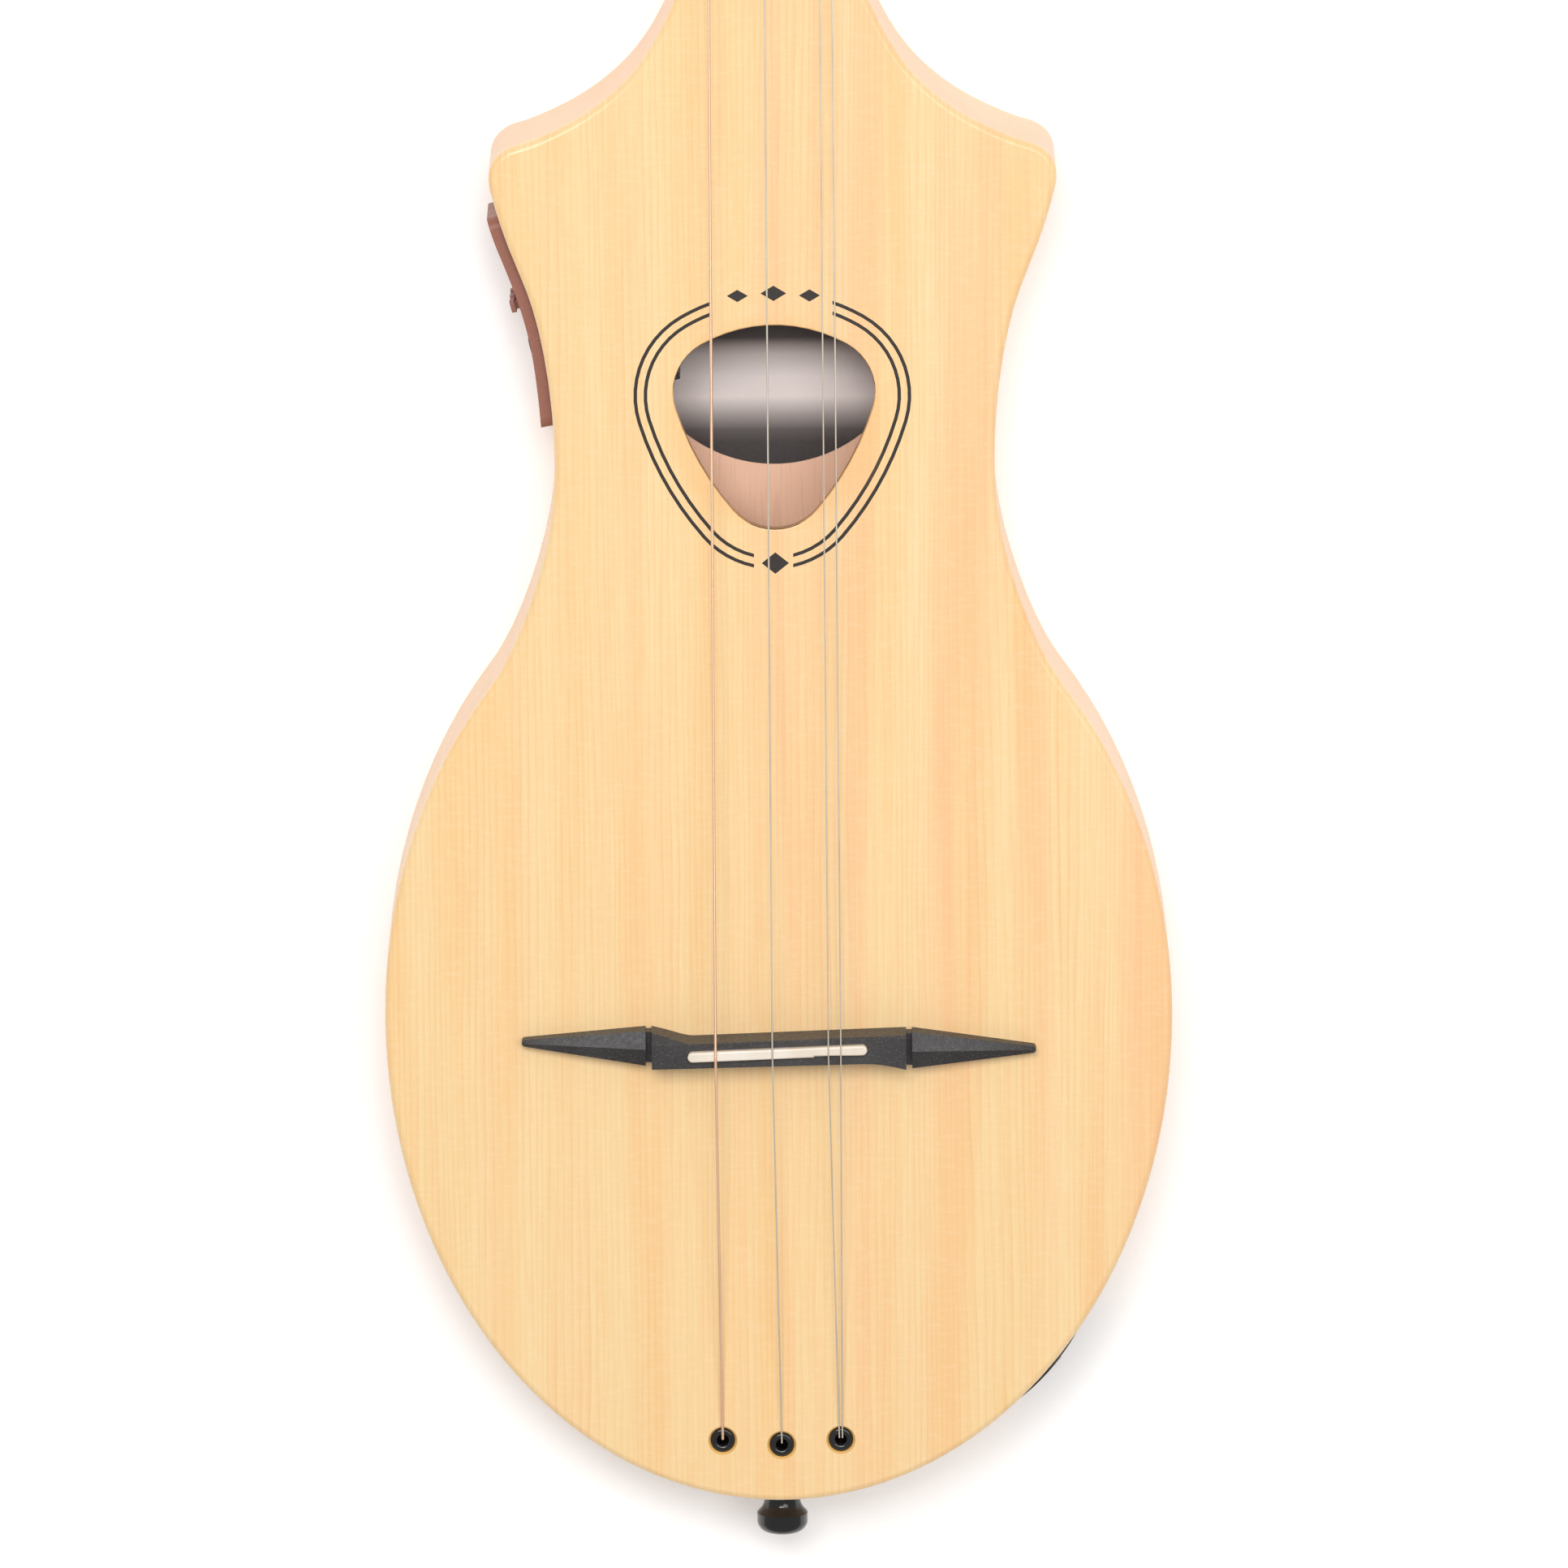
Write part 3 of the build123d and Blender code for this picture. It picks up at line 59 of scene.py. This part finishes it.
# ---------------------------------------------------------------- material helpers
class Shader:
    """A node material under construction, with its coordinates in metres in the row frame."""

    def __init__(self, name):
        self.material = bpy.data.materials.new(name)
        self.material.use_nodes = True
        self.tree = self.material.node_tree
        self.bsdf = self.tree.nodes["Principled BSDF"]
        self.place = self.new("ShaderNodeTexCoord").outputs["Object"]

    def new(self, kind, **settings):
        node = self.tree.nodes.new(kind)
        for key, value in settings.items():
            setattr(node, key, value)
        return node

    def link(self, source, target):
        self.tree.links.new(source, target)

    def set(self, socket, value):
        if isinstance(value, bpy.types.NodeSocket):
            self.link(value, socket)
        else:
            socket.default_value = value

    def stretched(self, scale):
        """The object's coordinates, multiplied by a scale along each axis."""
        node = self.new("ShaderNodeMapping")
        node.inputs["Scale"].default_value = scale
        self.link(self.place, node.inputs["Vector"])
        return node.outputs["Vector"]

    def noise(self, vector, detail=2.0, roughness=0.5, distortion=0.0):
        node = self.new("ShaderNodeTexNoise")
        self.link(vector, node.inputs["Vector"])
        node.inputs["Scale"].default_value = 1.0
        node.inputs["Detail"].default_value = detail
        node.inputs["Roughness"].default_value = roughness
        node.inputs["Distortion"].default_value = distortion
        return node.outputs["Fac"]

    def ramp(self, factor, stops):
        """Colours or grey values at stops between 0 and 1."""
        node = self.new("ShaderNodeValToRGB")
        elements = node.color_ramp.elements
        while len(elements) < len(stops):
            elements.new(0.5)
        for element, (position, value) in zip(elements, stops):
            element.position = position
            colour = value if isinstance(value, tuple) else (value, value, value)
            element.color = (*colour, 1)
        self.link(factor, node.inputs["Fac"])
        return node.outputs["Color"]

    def mix(self, factor, first, second):
        node = self.new("ShaderNodeMix", data_type="RGBA")
        self.set(node.inputs[0], factor)
        rgba = [socket for socket in node.inputs if socket.type == "RGBA"]
        for socket, value in zip(rgba, (first, second)):
            self.set(socket, value if isinstance(value, bpy.types.NodeSocket) else (*value, 1))
        return [socket for socket in node.outputs if socket.type == "RGBA"][0]

    def math(self, operation, first, second=0.0):
        node = self.new("ShaderNodeMath", operation=operation)
        self.set(node.inputs[0], first)
        self.set(node.inputs[1], second)
        return node.outputs[0]

    def axis(self, name):
        node = self.new("ShaderNodeSeparateXYZ")
        self.link(self.place, node.inputs[0])
        return node.outputs[name]

    def distance(self, scale, centre):
        """Distance from a centre, in coordinates stretched by a scale."""
        node = self.new("ShaderNodeVectorMath", operation="DISTANCE")
        self.link(self.stretched(scale), node.inputs[0])
        node.inputs[1].default_value = centre
        return node.outputs["Value"]

    def bump(self, height, strength, distance):
        node = self.new("ShaderNodeBump")
        node.inputs["Strength"].default_value = strength
        node.inputs["Distance"].default_value = distance
        self.link(height, node.inputs["Height"])
        self.link(node.outputs["Normal"], self.bsdf.inputs["Normal"])

    def finish(self, colour, roughness, **values):
        self.link(colour, self.bsdf.inputs["Base Color"])
        self.set(self.bsdf.inputs["Roughness"], roughness)
        for key, value in values.items():
            self.bsdf.inputs[key.replace("_", " ")].default_value = value
        return self.material


def clamp_range(shader, value, low, high, out_low=0.0, out_high=1.0):
    """Value mapped from one range to another and clamped."""
    node = shader.new("ShaderNodeMapRange")
    shader.link(value, node.inputs["Value"])
    limits = {"From Min": low, "From Max": high, "To Min": out_low, "To Max": out_high}
    for key, number in limits.items():
        node.inputs[key].default_value = number
    return node.outputs["Result"]


# ---------------------------------------------------------------- woods
RING_SPACING = 1.65 * MM
SPRUCE_BANDS = [
    (0.30, (0.945, 0.610, 0.270)),
    (0.50, (0.940, 0.680, 0.345)),
    (0.72, (0.950, 0.725, 0.400)),
]
RING_LINE = [(0.0, 0.0), (0.45, 0.12), (0.74, 0.55), (0.86, 1.0), (0.97, 0.0)]
HOLE_STATION = 284.2
FERRULE_STATION = 15
ENGRAVED_DEPTH = 0.4 * MM


def spruce_material():
    """Lacquered spruce: fine straight grain along Y, honey bands and a few pinkish streaks."""
    shader = Shader("lacquered_spruce")
    # rings: thin dark lines, at a spacing and strength that wander across the board
    wander = shader.noise(shader.stretched((30, 1.2, 0)), detail=2.0)
    wobble = shader.noise(shader.stretched((240, 14, 0)), detail=1.5)
    across = shader.math("MULTIPLY", shader.axis("X"), 1 / RING_SPACING)
    across = shader.math("ADD", across, shader.math("MULTIPLY", wander, 9.0))
    across = shader.math("ADD", across, shader.math("MULTIPLY", wobble, 1.3))
    ring = shader.math("FRACT", across)
    line = shader.ramp(ring, RING_LINE)
    weight = shader.noise(shader.stretched((150, 9, 0)), detail=3.0)
    line = shader.math("MULTIPLY", line, shader.ramp(weight, [(0.30, 0.25), (0.68, 1.0)]))
    fibre = shader.noise(shader.stretched((1500, 60, 60)), detail=3.0, roughness=0.65)
    bands = shader.noise(shader.stretched((75, 3.2, 0)), detail=4.0, roughness=0.62)
    streaks = shader.noise(shader.stretched((64, 2.4, 0)), detail=4.5, roughness=0.62)
    broad = shader.noise(shader.stretched((13, 2.0, 0)), detail=1.0)
    silk = shader.noise(shader.stretched((260, 900, 60)), detail=2.0)
    base = shader.ramp(bands, SPRUCE_BANDS)
    treble = clamp_range(shader, shader.axis("X"), -50 * MM, 85 * MM, 0.55, 1.0)
    pink = shader.math("MULTIPLY", shader.ramp(streaks, [(0.47, 0.0), (0.68, 1.0)]), treble)
    pink = shader.math("MULTIPLY", pink, shader.ramp(broad, [(0.35, 0.45), (0.62, 1.0)]))
    base = shader.mix(shader.math("MULTIPLY", pink, 0.85), base, (0.955, 0.520, 0.255))
    base = shader.mix(shader.math("MULTIPLY", line, 0.52), base, (0.870, 0.455, 0.195))
    mottle = shader.math("MULTIPLY", shader.ramp(fibre, [(0.36, 1.0), (0.60, 0.0)]), 0.26)
    base = shader.mix(mottle, base, (0.885, 0.530, 0.240))
    glint = shader.math("MULTIPLY", shader.ramp(silk, [(0.50, 0.0), (0.72, 1.0)]), 0.16)
    base = shader.mix(glint, base, (0.985, 0.78, 0.50))
    # cut wood shows below the lacquered face: engraved lines, ferrule seats, edge of the sound hole
    height = shader.axis("Z")
    cut = clamp_range(shader, height, top_z - 0.06 * MM, top_z - 0.14 * MM)
    reach = shader.distance((1, 1, 0), (0, along(HOLE_STATION), 0))
    # the wall of the sound hole grows darker with depth below the face: painted shade inside the hole, laid over
    # the cut wood's own orange-brown
    hole_wall_shade = clamp_range(shader, height, top_z - 0.3 * MM, top_z - 1.2 * MM)
    rim = shader.mix(hole_wall_shade, (0.90, 0.50, 0.19), (0.50, 0.22, 0.075))
    engraved_bottom = top_z - ENGRAVED_DEPTH
    engraved = clamp_range(shader, height, engraved_bottom, engraved_bottom + 0.03 * MM)
    outside_hole = clamp_range(shader, reach, 26.8 * MM, 27.4 * MM)
    engraved = shader.math("MULTIPLY", engraved, outside_hole)
    edge = shader.mix(engraved, rim, (0.022, 0.014, 0.011))
    near_hole = clamp_range(shader, reach, 49 * MM, 47 * MM)
    base = shader.mix(shader.math("MULTIPLY", cut, near_hole), base, edge)
    halo = clamp_range(shader, reach, 29.0 * MM, 25.5 * MM, 0.0, 0.38)
    base = shader.mix(halo, base, (0.93, 0.52, 0.20))
    ferrule_reach = shader.distance((0.45, 1, 0), (0, along(FERRULE_STATION), 0))
    near_ferrule = clamp_range(shader, ferrule_reach, 12.5 * MM, 11.5 * MM)
    base = shader.mix(shader.math("MULTIPLY", cut, near_ferrule), base, (0.95, 0.55, 0.17))
    pores = shader.math("MULTIPLY", fibre, 0.4)
    relief = shader.math("SUBTRACT", pores, shader.math("MULTIPLY", line, 0.6))
    shader.bump(relief, 0.12, 0.05 * MM)
    gloss = clamp_range(shader, broad, 0.3, 0.7, 0.32, 0.42)
    return shader.finish(base, gloss, Coat_Weight=0.2, Coat_Roughness=0.2)


CHAMBER_FLOOR = 6.0 * MM
MAPLE_BANDS = [
    (0.30, (0.830, 0.490, 0.260)),
    (0.55, (0.880, 0.570, 0.325)),
    (0.75, (0.905, 0.620, 0.375)),
]


def maple_material():
    """Satin maple: pale cream-pink with a faint flame across the grain."""
    shader = Shader("satin_maple")
    bands = shader.noise(shader.stretched((26, 3.2, 26)), detail=4.0, roughness=0.6)
    pores = shader.noise(shader.stretched((1500, 60, 1500)), detail=2.0)
    flame = shader.noise(shader.stretched((14, 150, 14)), detail=1.5, distortion=0.6)
    base = shader.ramp(bands, MAPLE_BANDS)
    sheen = shader.math("MULTIPLY", shader.ramp(flame, [(0.42, 0.0), (0.62, 1.0)]), 0.25)
    base = shader.mix(sheen, base, (0.93, 0.65, 0.41))
    flecks = shader.math("MULTIPLY", shader.ramp(pores, [(0.34, 1.0), (0.46, 0.0)]), 0.20)
    base = shader.mix(flecks, base, (0.68, 0.44, 0.30))
    # bare, pinker wood on the floor of the chamber, also painted lighter: partly the wood's own tone, partly a
    # painted stand-in for light falling through the sound hole
    height = shader.axis("Z")
    under = clamp_range(shader, height, CHAMBER_FLOOR + 0.5 * MM, CHAMBER_FLOOR + 0.2 * MM)
    over = clamp_range(shader, height, CHAMBER_FLOOR - 0.5 * MM, CHAMBER_FLOOR - 0.2 * MM)
    bare_wood_and_painted_light = shader.mix(flecks, (1.0, 0.62, 0.43), (0.62, 0.33, 0.20))
    base = shader.mix(shader.math("MULTIPLY", under, over), base, bare_wood_and_painted_light)
    shader.bump(pores, 0.08, 0.05 * MM)
    gloss = clamp_range(shader, bands, 0.3, 0.7, 0.34, 0.44)
    return shader.finish(base, gloss, Coat_Weight=0.2, Coat_Roughness=0.25)


def inner_spruce_material():
    """Sawn, unfinished spruce of the braces."""
    shader = Shader("sawn_spruce")
    lines = shader.noise(shader.stretched((8, 500, 500)), detail=2.0)
    base = shader.ramp(lines, [(0.35, (0.62, 0.44, 0.25)), (0.60, (0.78, 0.60, 0.38))])
    shader.bump(lines, 0.3, 0.1 * MM)
    return shader.finish(base, clamp_range(shader, lines, 0.3, 0.7, 0.65, 0.8))


ROSEWOOD_BANDS = [
    (0.32, (0.030, 0.014, 0.009)),
    (0.55, (0.085, 0.038, 0.022)),
    (0.74, (0.150, 0.070, 0.038)),
]


def rosewood_material():
    """Oiled dark fingerboard wood with open pores."""
    shader = Shader("oiled_rosewood")
    bands = shader.noise(shader.stretched((160, 4, 160)), detail=4.0, roughness=0.6)
    pores = shader.noise(shader.stretched((2200, 90, 2200)), detail=1.0)
    base = shader.ramp(bands, ROSEWOOD_BANDS)
    dark = shader.ramp(pores, [(0.36, 1.0), (0.44, 0.0)])
    base = shader.mix(shader.math("MULTIPLY", dark, 0.6), base, (0.014, 0.008, 0.006))
    shader.bump(shader.math("SUBTRACT", 1.0, dark), 0.25, 0.08 * MM)
    return shader.finish(base, clamp_range(shader, bands, 0.3, 0.7, 0.42, 0.56))


# ---------------------------------------------------------------- plastics, metals and the rest
def speckled_material(name, colour, flake, roughness, grain=2600, strength=0.22, amount=0.5):
    """Moulded plastic with fine light flakes and a leathery skin."""
    shader = Shader(name)
    flakes = shader.noise(shader.stretched((grain, grain, grain)), detail=1.0)
    skin = shader.noise(shader.stretched((grain / 3, grain / 3, grain / 3)), detail=3.0, roughness=0.6)
    cloud = shader.noise(shader.stretched((60, 60, 60)), detail=2.0)
    share = shader.ramp(flakes, [(0.60, 0.0), (0.72, 1.0)])
    base = shader.mix(shader.math("MULTIPLY", share, amount), colour, flake)
    haze = shader.math("MULTIPLY", shader.ramp(cloud, [(0.4, 0.0), (0.7, 1.0)]), 0.12)
    base = shader.mix(haze, base, flake)
    shader.bump(skin, strength, 0.08 * MM)
    gloss = clamp_range(shader, skin, 0.3, 0.7, roughness - 0.06, roughness + 0.08)
    return shader.finish(base, gloss)


def metal_material(name, colour, roughness, brushed=(900, 60, 900), metallic=1.0):
    """Plated metal with faint directional polishing marks."""
    shader = Shader(name)
    marks = shader.noise(shader.stretched(brushed), detail=2.0)
    cloud = shader.noise(shader.stretched((90, 90, 90)), detail=2.0)
    dull = tuple(0.86 * part for part in colour)
    base = shader.mix(shader.ramp(cloud, [(0.35, 0.0), (0.7, 1.0)]), colour, dull)
    shader.bump(marks, 0.05, 0.03 * MM)
    gloss = clamp_range(shader, marks, 0.3, 0.7, roughness * 0.8, roughness * 1.3)
    return shader.finish(base, gloss, Metallic=metallic)


def polished_material(name, colour, second, roughness, coat=0.4):
    """Smooth polished plastic or enamel with a slight cloud in its colour."""
    shader = Shader(name)
    cloud = shader.noise(shader.stretched((120, 40, 120)), detail=3.0)
    fine = shader.noise(shader.stretched((1400, 1400, 1400)), detail=1.0)
    base = shader.mix(shader.ramp(cloud, [(0.38, 0.0), (0.66, 1.0)]), colour, second)
    shader.bump(fine, 0.04, 0.03 * MM)
    gloss = clamp_range(shader, cloud, 0.3, 0.7, roughness, roughness * 1.4)
    return shader.finish(base, gloss, Coat_Weight=coat, Coat_Roughness=0.08)


def label_material():
    """Paper label with a plain silver-grey band fading to dark brown at both ends."""
    shader = Shader("label_gradient")
    low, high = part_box("label")
    height = clamp_range(shader, shader.axis("Y"), low[1], high[1])
    fibre = shader.noise(shader.stretched((900, 900, 900)), detail=2.0)
    stops = [
        (0.000, (0.016, 0.011, 0.010)),
        (0.080, (0.030, 0.021, 0.020)),
        (0.125, (0.090, 0.072, 0.069)),
        (0.180, (0.370, 0.325, 0.312)),
        (0.245, (0.840, 0.750, 0.720)),
        (0.320, (0.800, 0.715, 0.690)),
        (0.400, (0.600, 0.530, 0.505)),
        (0.430, (0.400, 0.330, 0.310)),
        (0.460, (0.050, 0.034, 0.030)),
        (1.000, (0.014, 0.010, 0.009)),
    ]
    base = shader.ramp(height, stops)
    base = shader.mix(shader.math("MULTIPLY", fibre, 0.08), base, (0.4, 0.36, 0.34))
    shader.bump(fibre, 0.1, 0.05 * MM)
    return shader.finish(base, clamp_range(shader, fibre, 0.3, 0.7, 0.45, 0.6))


def wound_string_material():
    """Phosphor bronze winding: fine ridges round the string."""
    shader = Shader("wound_bronze")
    wave = shader.new("ShaderNodeTexWave", wave_type="BANDS", bands_direction="Y")
    wave.inputs["Scale"].default_value = 1000.0
    wave.inputs["Distortion"].default_value = 0.0
    shader.link(shader.place, wave.inputs["Vector"])
    tint = shader.noise(shader.stretched((200, 40, 200)), detail=2.0)
    base = shader.mix(tint, (0.93, 0.60, 0.40), (0.97, 0.70, 0.50))
    base = shader.mix(shader.math("MULTIPLY", wave.outputs["Fac"], 0.35), base, (0.62, 0.34, 0.20))
    shader.bump(wave.outputs["Fac"], 0.5, 0.06 * MM)
    return shader.finish(base, clamp_range(shader, tint, 0.3, 0.7, 0.30, 0.42), Metallic=0.7)


def board_material():
    """Green glass-fibre circuit board."""
    shader = Shader("circuit_board")
    weave = shader.noise(shader.stretched((1800, 1800, 1800)), detail=1.0)
    base = shader.mix(weave, (0.02, 0.11, 0.05), (0.04, 0.18, 0.08))
    shader.bump(weave, 0.1, 0.05 * MM)
    return shader.finish(base, clamp_range(shader, weave, 0.3, 0.7, 0.35, 0.5))


def floor_material():
    """Plain pale floor that glows faintly, so that it stays near white."""
    shader = Shader("pale_floor")
    cloud = shader.noise(shader.stretched((0.6, 0.6, 0.6)), detail=1.0)
    base = shader.mix(cloud, (0.955, 0.945, 0.940), (0.965, 0.955, 0.950))
    shader.bsdf.inputs["Emission Color"].default_value = (1.0, 1.0, 1.0, 1)
    return shader.finish(base, 0.9, Specular_IOR_Level=0.1, Emission_Strength=0.20)


MATERIALS = {
    "maple": maple_material(),
    "spruce": spruce_material(),
    "spruce_inner": inner_spruce_material(),
    "rosewood": rosewood_material(),
    "label_paper": label_material(),
    "bridge_plastic": speckled_material(
        "bridge_composite", (0.026, 0.023, 0.023), (0.17, 0.155, 0.15), 0.48
    ),
    "bone_plastic": polished_material("bone", (0.800, 0.690, 0.560), (0.870, 0.790, 0.690), 0.30),
    "nickel": metal_material("nickel_plate", (0.84, 0.75, 0.66), 0.30),
    "chrome": metal_material("chrome_plate", (0.80, 0.80, 0.81), 0.12),
    "brass": metal_material("turned_brass", (0.78, 0.57, 0.27), 0.28, brushed=(300, 1200, 300)),
    "gloss_black": polished_material(
        "black_enamel", (0.006, 0.006, 0.007), (0.013, 0.012, 0.013), 0.14, coat=0.3
    ),
    "panel_plastic": speckled_material(
        "panel_plastic", (0.300, 0.118, 0.080), (0.42, 0.20, 0.15), 0.46,
        grain=1800, strength=0.15, amount=0.3,
    ),
    "black_plastic": speckled_material(
        "black_moulding", (0.016, 0.014, 0.014), (0.06, 0.055, 0.055), 0.42,
        grain=2200, strength=0.2, amount=0.3,
    ),
    "board": board_material(),
    "black_rubber": speckled_material(
        "soft_rubber", (0.022, 0.020, 0.020), (0.05, 0.05, 0.05), 0.72,
        grain=2600, strength=0.2, amount=0.3,
    ),
    "display": polished_material(
        "display_window", (0.012, 0.012, 0.014), (0.022, 0.022, 0.026), 0.08, coat=0.9
    ),
    "bronze_wound": wound_string_material(),
    "plain_steel": metal_material(
        "bright_steel", (0.80, 0.73, 0.62), 0.32, brushed=(500, 20, 500), metallic=0.65
    ),
    "button_plastic": polished_material(
        "button_black", (0.010, 0.010, 0.010), (0.022, 0.021, 0.021), 0.16, coat=0.6
    ),
}

for subpart in frame["record"]["subparts"]:
    node = nodes_by_name[subpart["node"]]
    node.data.materials.clear()
    node.data.materials.append(MATERIALS[subpart["material_slot"]])


# ---------------------------------------------------------------- printed marks and string tails
def joint_axis(name):
    """Unit vector of a joint's axis."""
    return Vector(joints[name]["axis"]).normalized()


def middle(node):
    """Middle of a CAD node's box."""
    low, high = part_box(node)
    return (low + high) / 2


def new_piece(name, verts, faces, body, slot):
    """Closed mesh with outward faces and a slot's material, riding on a body."""
    build = bmesh.new()
    corners = [build.verts.new(place) for place in verts]
    for face in faces:
        build.faces.new([corners[index] for index in face])
    bmesh.ops.recalc_face_normals(build, faces=build.faces)
    mesh = bpy.data.meshes.new(name)
    build.to_mesh(mesh)
    build.free()
    mesh.materials.append(MATERIALS[slot])
    piece = bpy.data.objects.new(name, mesh)
    bpy.context.collection.objects.link(piece)
    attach(piece, body)


DASH_STEPS = 8
DASH_LIFT = 0.04 * MM
RAY_START = 20 * MM


def draped_dash(name, surface, centre, along_dash, across_dash, inward, size):
    """Thin printed dash laid on the surface of a CAD node, which it follows."""
    length, width = size
    rows = []
    for side in (-0.5, 0.5):
        for step in range(DASH_STEPS + 1):
            share = step / DASH_STEPS - 0.5
            spot = centre + along_dash * share * length + across_dash * side * width
            _, place, _, _ = surface.ray_cast(spot - inward * RAY_START, inward)
            rows.append(place - inward * DASH_LIFT)
    rows += [place + inward * 2 * DASH_LIFT for place in rows]
    count = DASH_STEPS + 1
    under = 2 * count
    faces = []
    for low in range(DASH_STEPS):
        high = low + count
        faces.append((low, low + 1, high + 1, high))
        faces.append((under + high, under + high + 1, under + low + 1, under + low))
        faces.append((low, under + low, under + low + 1, low + 1))
        faces.append((high + 1, under + high + 1, under + high, high))
    last = DASH_STEPS
    faces.append((0, count, under + count, under))
    faces.append((last, under + last, under + count + last, count + last))
    new_piece(name, rows, faces, BODY, "bone_plastic")


panel = nodes_by_name["preamp_panel"]
panel_along = joint_axis("volume_slide")
panel_out = joint_axis("battery_drawer_slide")
panel_across = panel_out.cross(panel_along)
TICK_STEP = 3.75 * MM
TICKS_EACH_WAY = 2
TICK_LENGTH = 0.9 * MM
MIDDLE_TICK_LENGTH = 1.5 * MM
TICK_WIDTH = 0.28 * MM
ROW_GAP = 3.8 * MM
for slider_name in ("volume_slider", "bass_slider", "treble_slider"):
    for step in range(-TICKS_EACH_WAY, TICKS_EACH_WAY + 1):
        name = f"tick_{slider_name}_{step + TICKS_EACH_WAY + 1}"
        length = MIDDLE_TICK_LENGTH if step == 0 else TICK_LENGTH
        spot = middle(slider_name) + panel_along * step * TICK_STEP + panel_across * ROW_GAP
        draped_dash(name, panel, spot, panel_across, panel_along, -panel_out, (length, TICK_WIDTH))


POST_HOLE_LEVEL = 9.2 * MM
TAIL_REACH = [0.0, 2.0, 3.6, 4.6, 5.4, 6.2]
TAIL_CLIMB = [0.0, 0.0, 0.05, 0.25, 0.6, 1.1]
TAIL_SIDES = 10
STRING_RADII = (0.36, 0.22, 0.19, 0.19)


def string_tail(number, radius, slot):
    """Cut end of a string that comes out of the hole in its post and bends up a little."""
    turn = joints[f"post_{number}_turn"]
    axis = joint_axis(turn["name"])
    anchor = Vector(turn["pos_m"])
    lengthwise = Vector((0, 1, 0))
    out = lengthwise.cross(axis).normalized()
    if anchor.x < 0:
        out = -out
    hole = anchor + axis * POST_HOLE_LEVEL
    spine = [hole + out * a * MM + axis * b * MM for a, b in zip(TAIL_REACH, TAIL_CLIMB)]
    verts = []
    for index, place in enumerate(spine):
        ahead = spine[min(index + 1, len(spine) - 1)]
        behind = spine[max(index - 1, 0)]
        run = (ahead - behind).normalized()
        first = run.cross(lengthwise).normalized()
        second = run.cross(first)
        for side in range(TAIL_SIDES):
            angle = 2 * math.pi * side / TAIL_SIDES
            verts.append(place + (first * math.cos(angle) + second * math.sin(angle)) * radius)
    faces = []
    last_ring = (len(spine) - 1) * TAIL_SIDES
    for here in range(0, last_ring, TAIL_SIDES):
        there = here + TAIL_SIDES
        for side in range(TAIL_SIDES):
            other = (side + 1) % TAIL_SIDES
            faces.append((here + side, here + other, there + other, there + side))
    faces.append(tuple(range(TAIL_SIDES - 1, -1, -1)))
    faces.append(tuple(range(last_ring, last_ring + TAIL_SIDES)))
    new_piece(f"string_tail_{number}", verts, faces, f"spool_{number}", slot)


for number, radius in enumerate(STRING_RADII, start=1):
    string_tail(number, radius * MM, "bronze_wound" if number == 1 else "plain_steel")

# ---------------------------------------------------------------- camera, light and floor
CAMERA_DISTANCE = 4.0
CAMERA_TILT = math.radians(12.5)
CAMERA_ROLL = math.radians(0.42)
FOCAL_LENGTH = 357.8
SENSOR_WIDTH = 36.0
FAR_CLIP = 200.0
TARGET_X = 1.8 * MM
TARGET_STATION = 189.5

target = Vector((TARGET_X, along(TARGET_STATION), top_z))
back = Vector((0, math.sin(CAMERA_TILT), math.cos(CAMERA_TILT)))
up = Vector((0, math.cos(CAMERA_TILT), -math.sin(CAMERA_TILT)))
right = up.cross(back)
camera_data = bpy.data.cameras.new("camera")
camera_data.lens = FOCAL_LENGTH
camera_data.sensor_width = SENSOR_WIDTH
camera_data.clip_end = FAR_CLIP
camera = bpy.data.objects.new("camera", camera_data)
camera_place = Matrix.Translation(target + back * CAMERA_DISTANCE)
camera_turn = Matrix((right, up, back)).transposed().to_4x4()
camera.matrix_world = camera_place @ camera_turn @ Matrix.Rotation(-CAMERA_ROLL, 4, "Z")
bpy.context.collection.objects.link(camera)
bpy.context.scene.camera = camera

FLOOR_SIZE = 60.0
FLOOR_DROP = 0.2 * MM
half = FLOOR_SIZE / 2
floor_corners = [(-half, -half, 0), (half, -half, 0), (half, half, 0), (-half, half, 0)]
floor_mesh = bpy.data.meshes.new("floor")
floor_mesh.from_pydata(floor_corners, [], [(0, 1, 2, 3)])
floor_mesh.materials.append(floor_material())
floor = bpy.data.objects.new("floor", floor_mesh)
floor.location.z = -FLOOR_DROP
bpy.context.collection.objects.link(floor)

WORLD_STRENGTH = 0.42
world = bpy.data.worlds.new("studio")
world.use_nodes = True
background = world.node_tree.nodes["Background"]
background.inputs["Color"].default_value = (1.0, 1.0, 1.0, 1)
background.inputs["Strength"].default_value = WORLD_STRENGTH
bpy.context.scene.world = world
bpy.context.scene.view_settings.view_transform = "Standard"


def area_light(name, place, aim, size, power):
    """Soft rectangular studio light that the camera doesn't see."""
    data = bpy.data.lights.new(name, "AREA")
    data.shape = "RECTANGLE"
    data.size, data.size_y = size
    data.energy = power
    light = bpy.data.objects.new(name, data)
    light.location = place
    light.rotation_euler = (Vector(aim) - Vector(place)).to_track_quat("-Z", "Y").to_euler()
    light.visible_camera = False
    bpy.context.collection.objects.link(light)


area_light("key", place=(-0.25, 0.75, 2.3), aim=(0, -0.24, 0), size=(1.1, 0.9), power=31.0)
area_light("fill", place=(0.7, 0.2, 2.2), aim=(0, -0.2, 0), size=(1.2, 1.2), power=14.0)
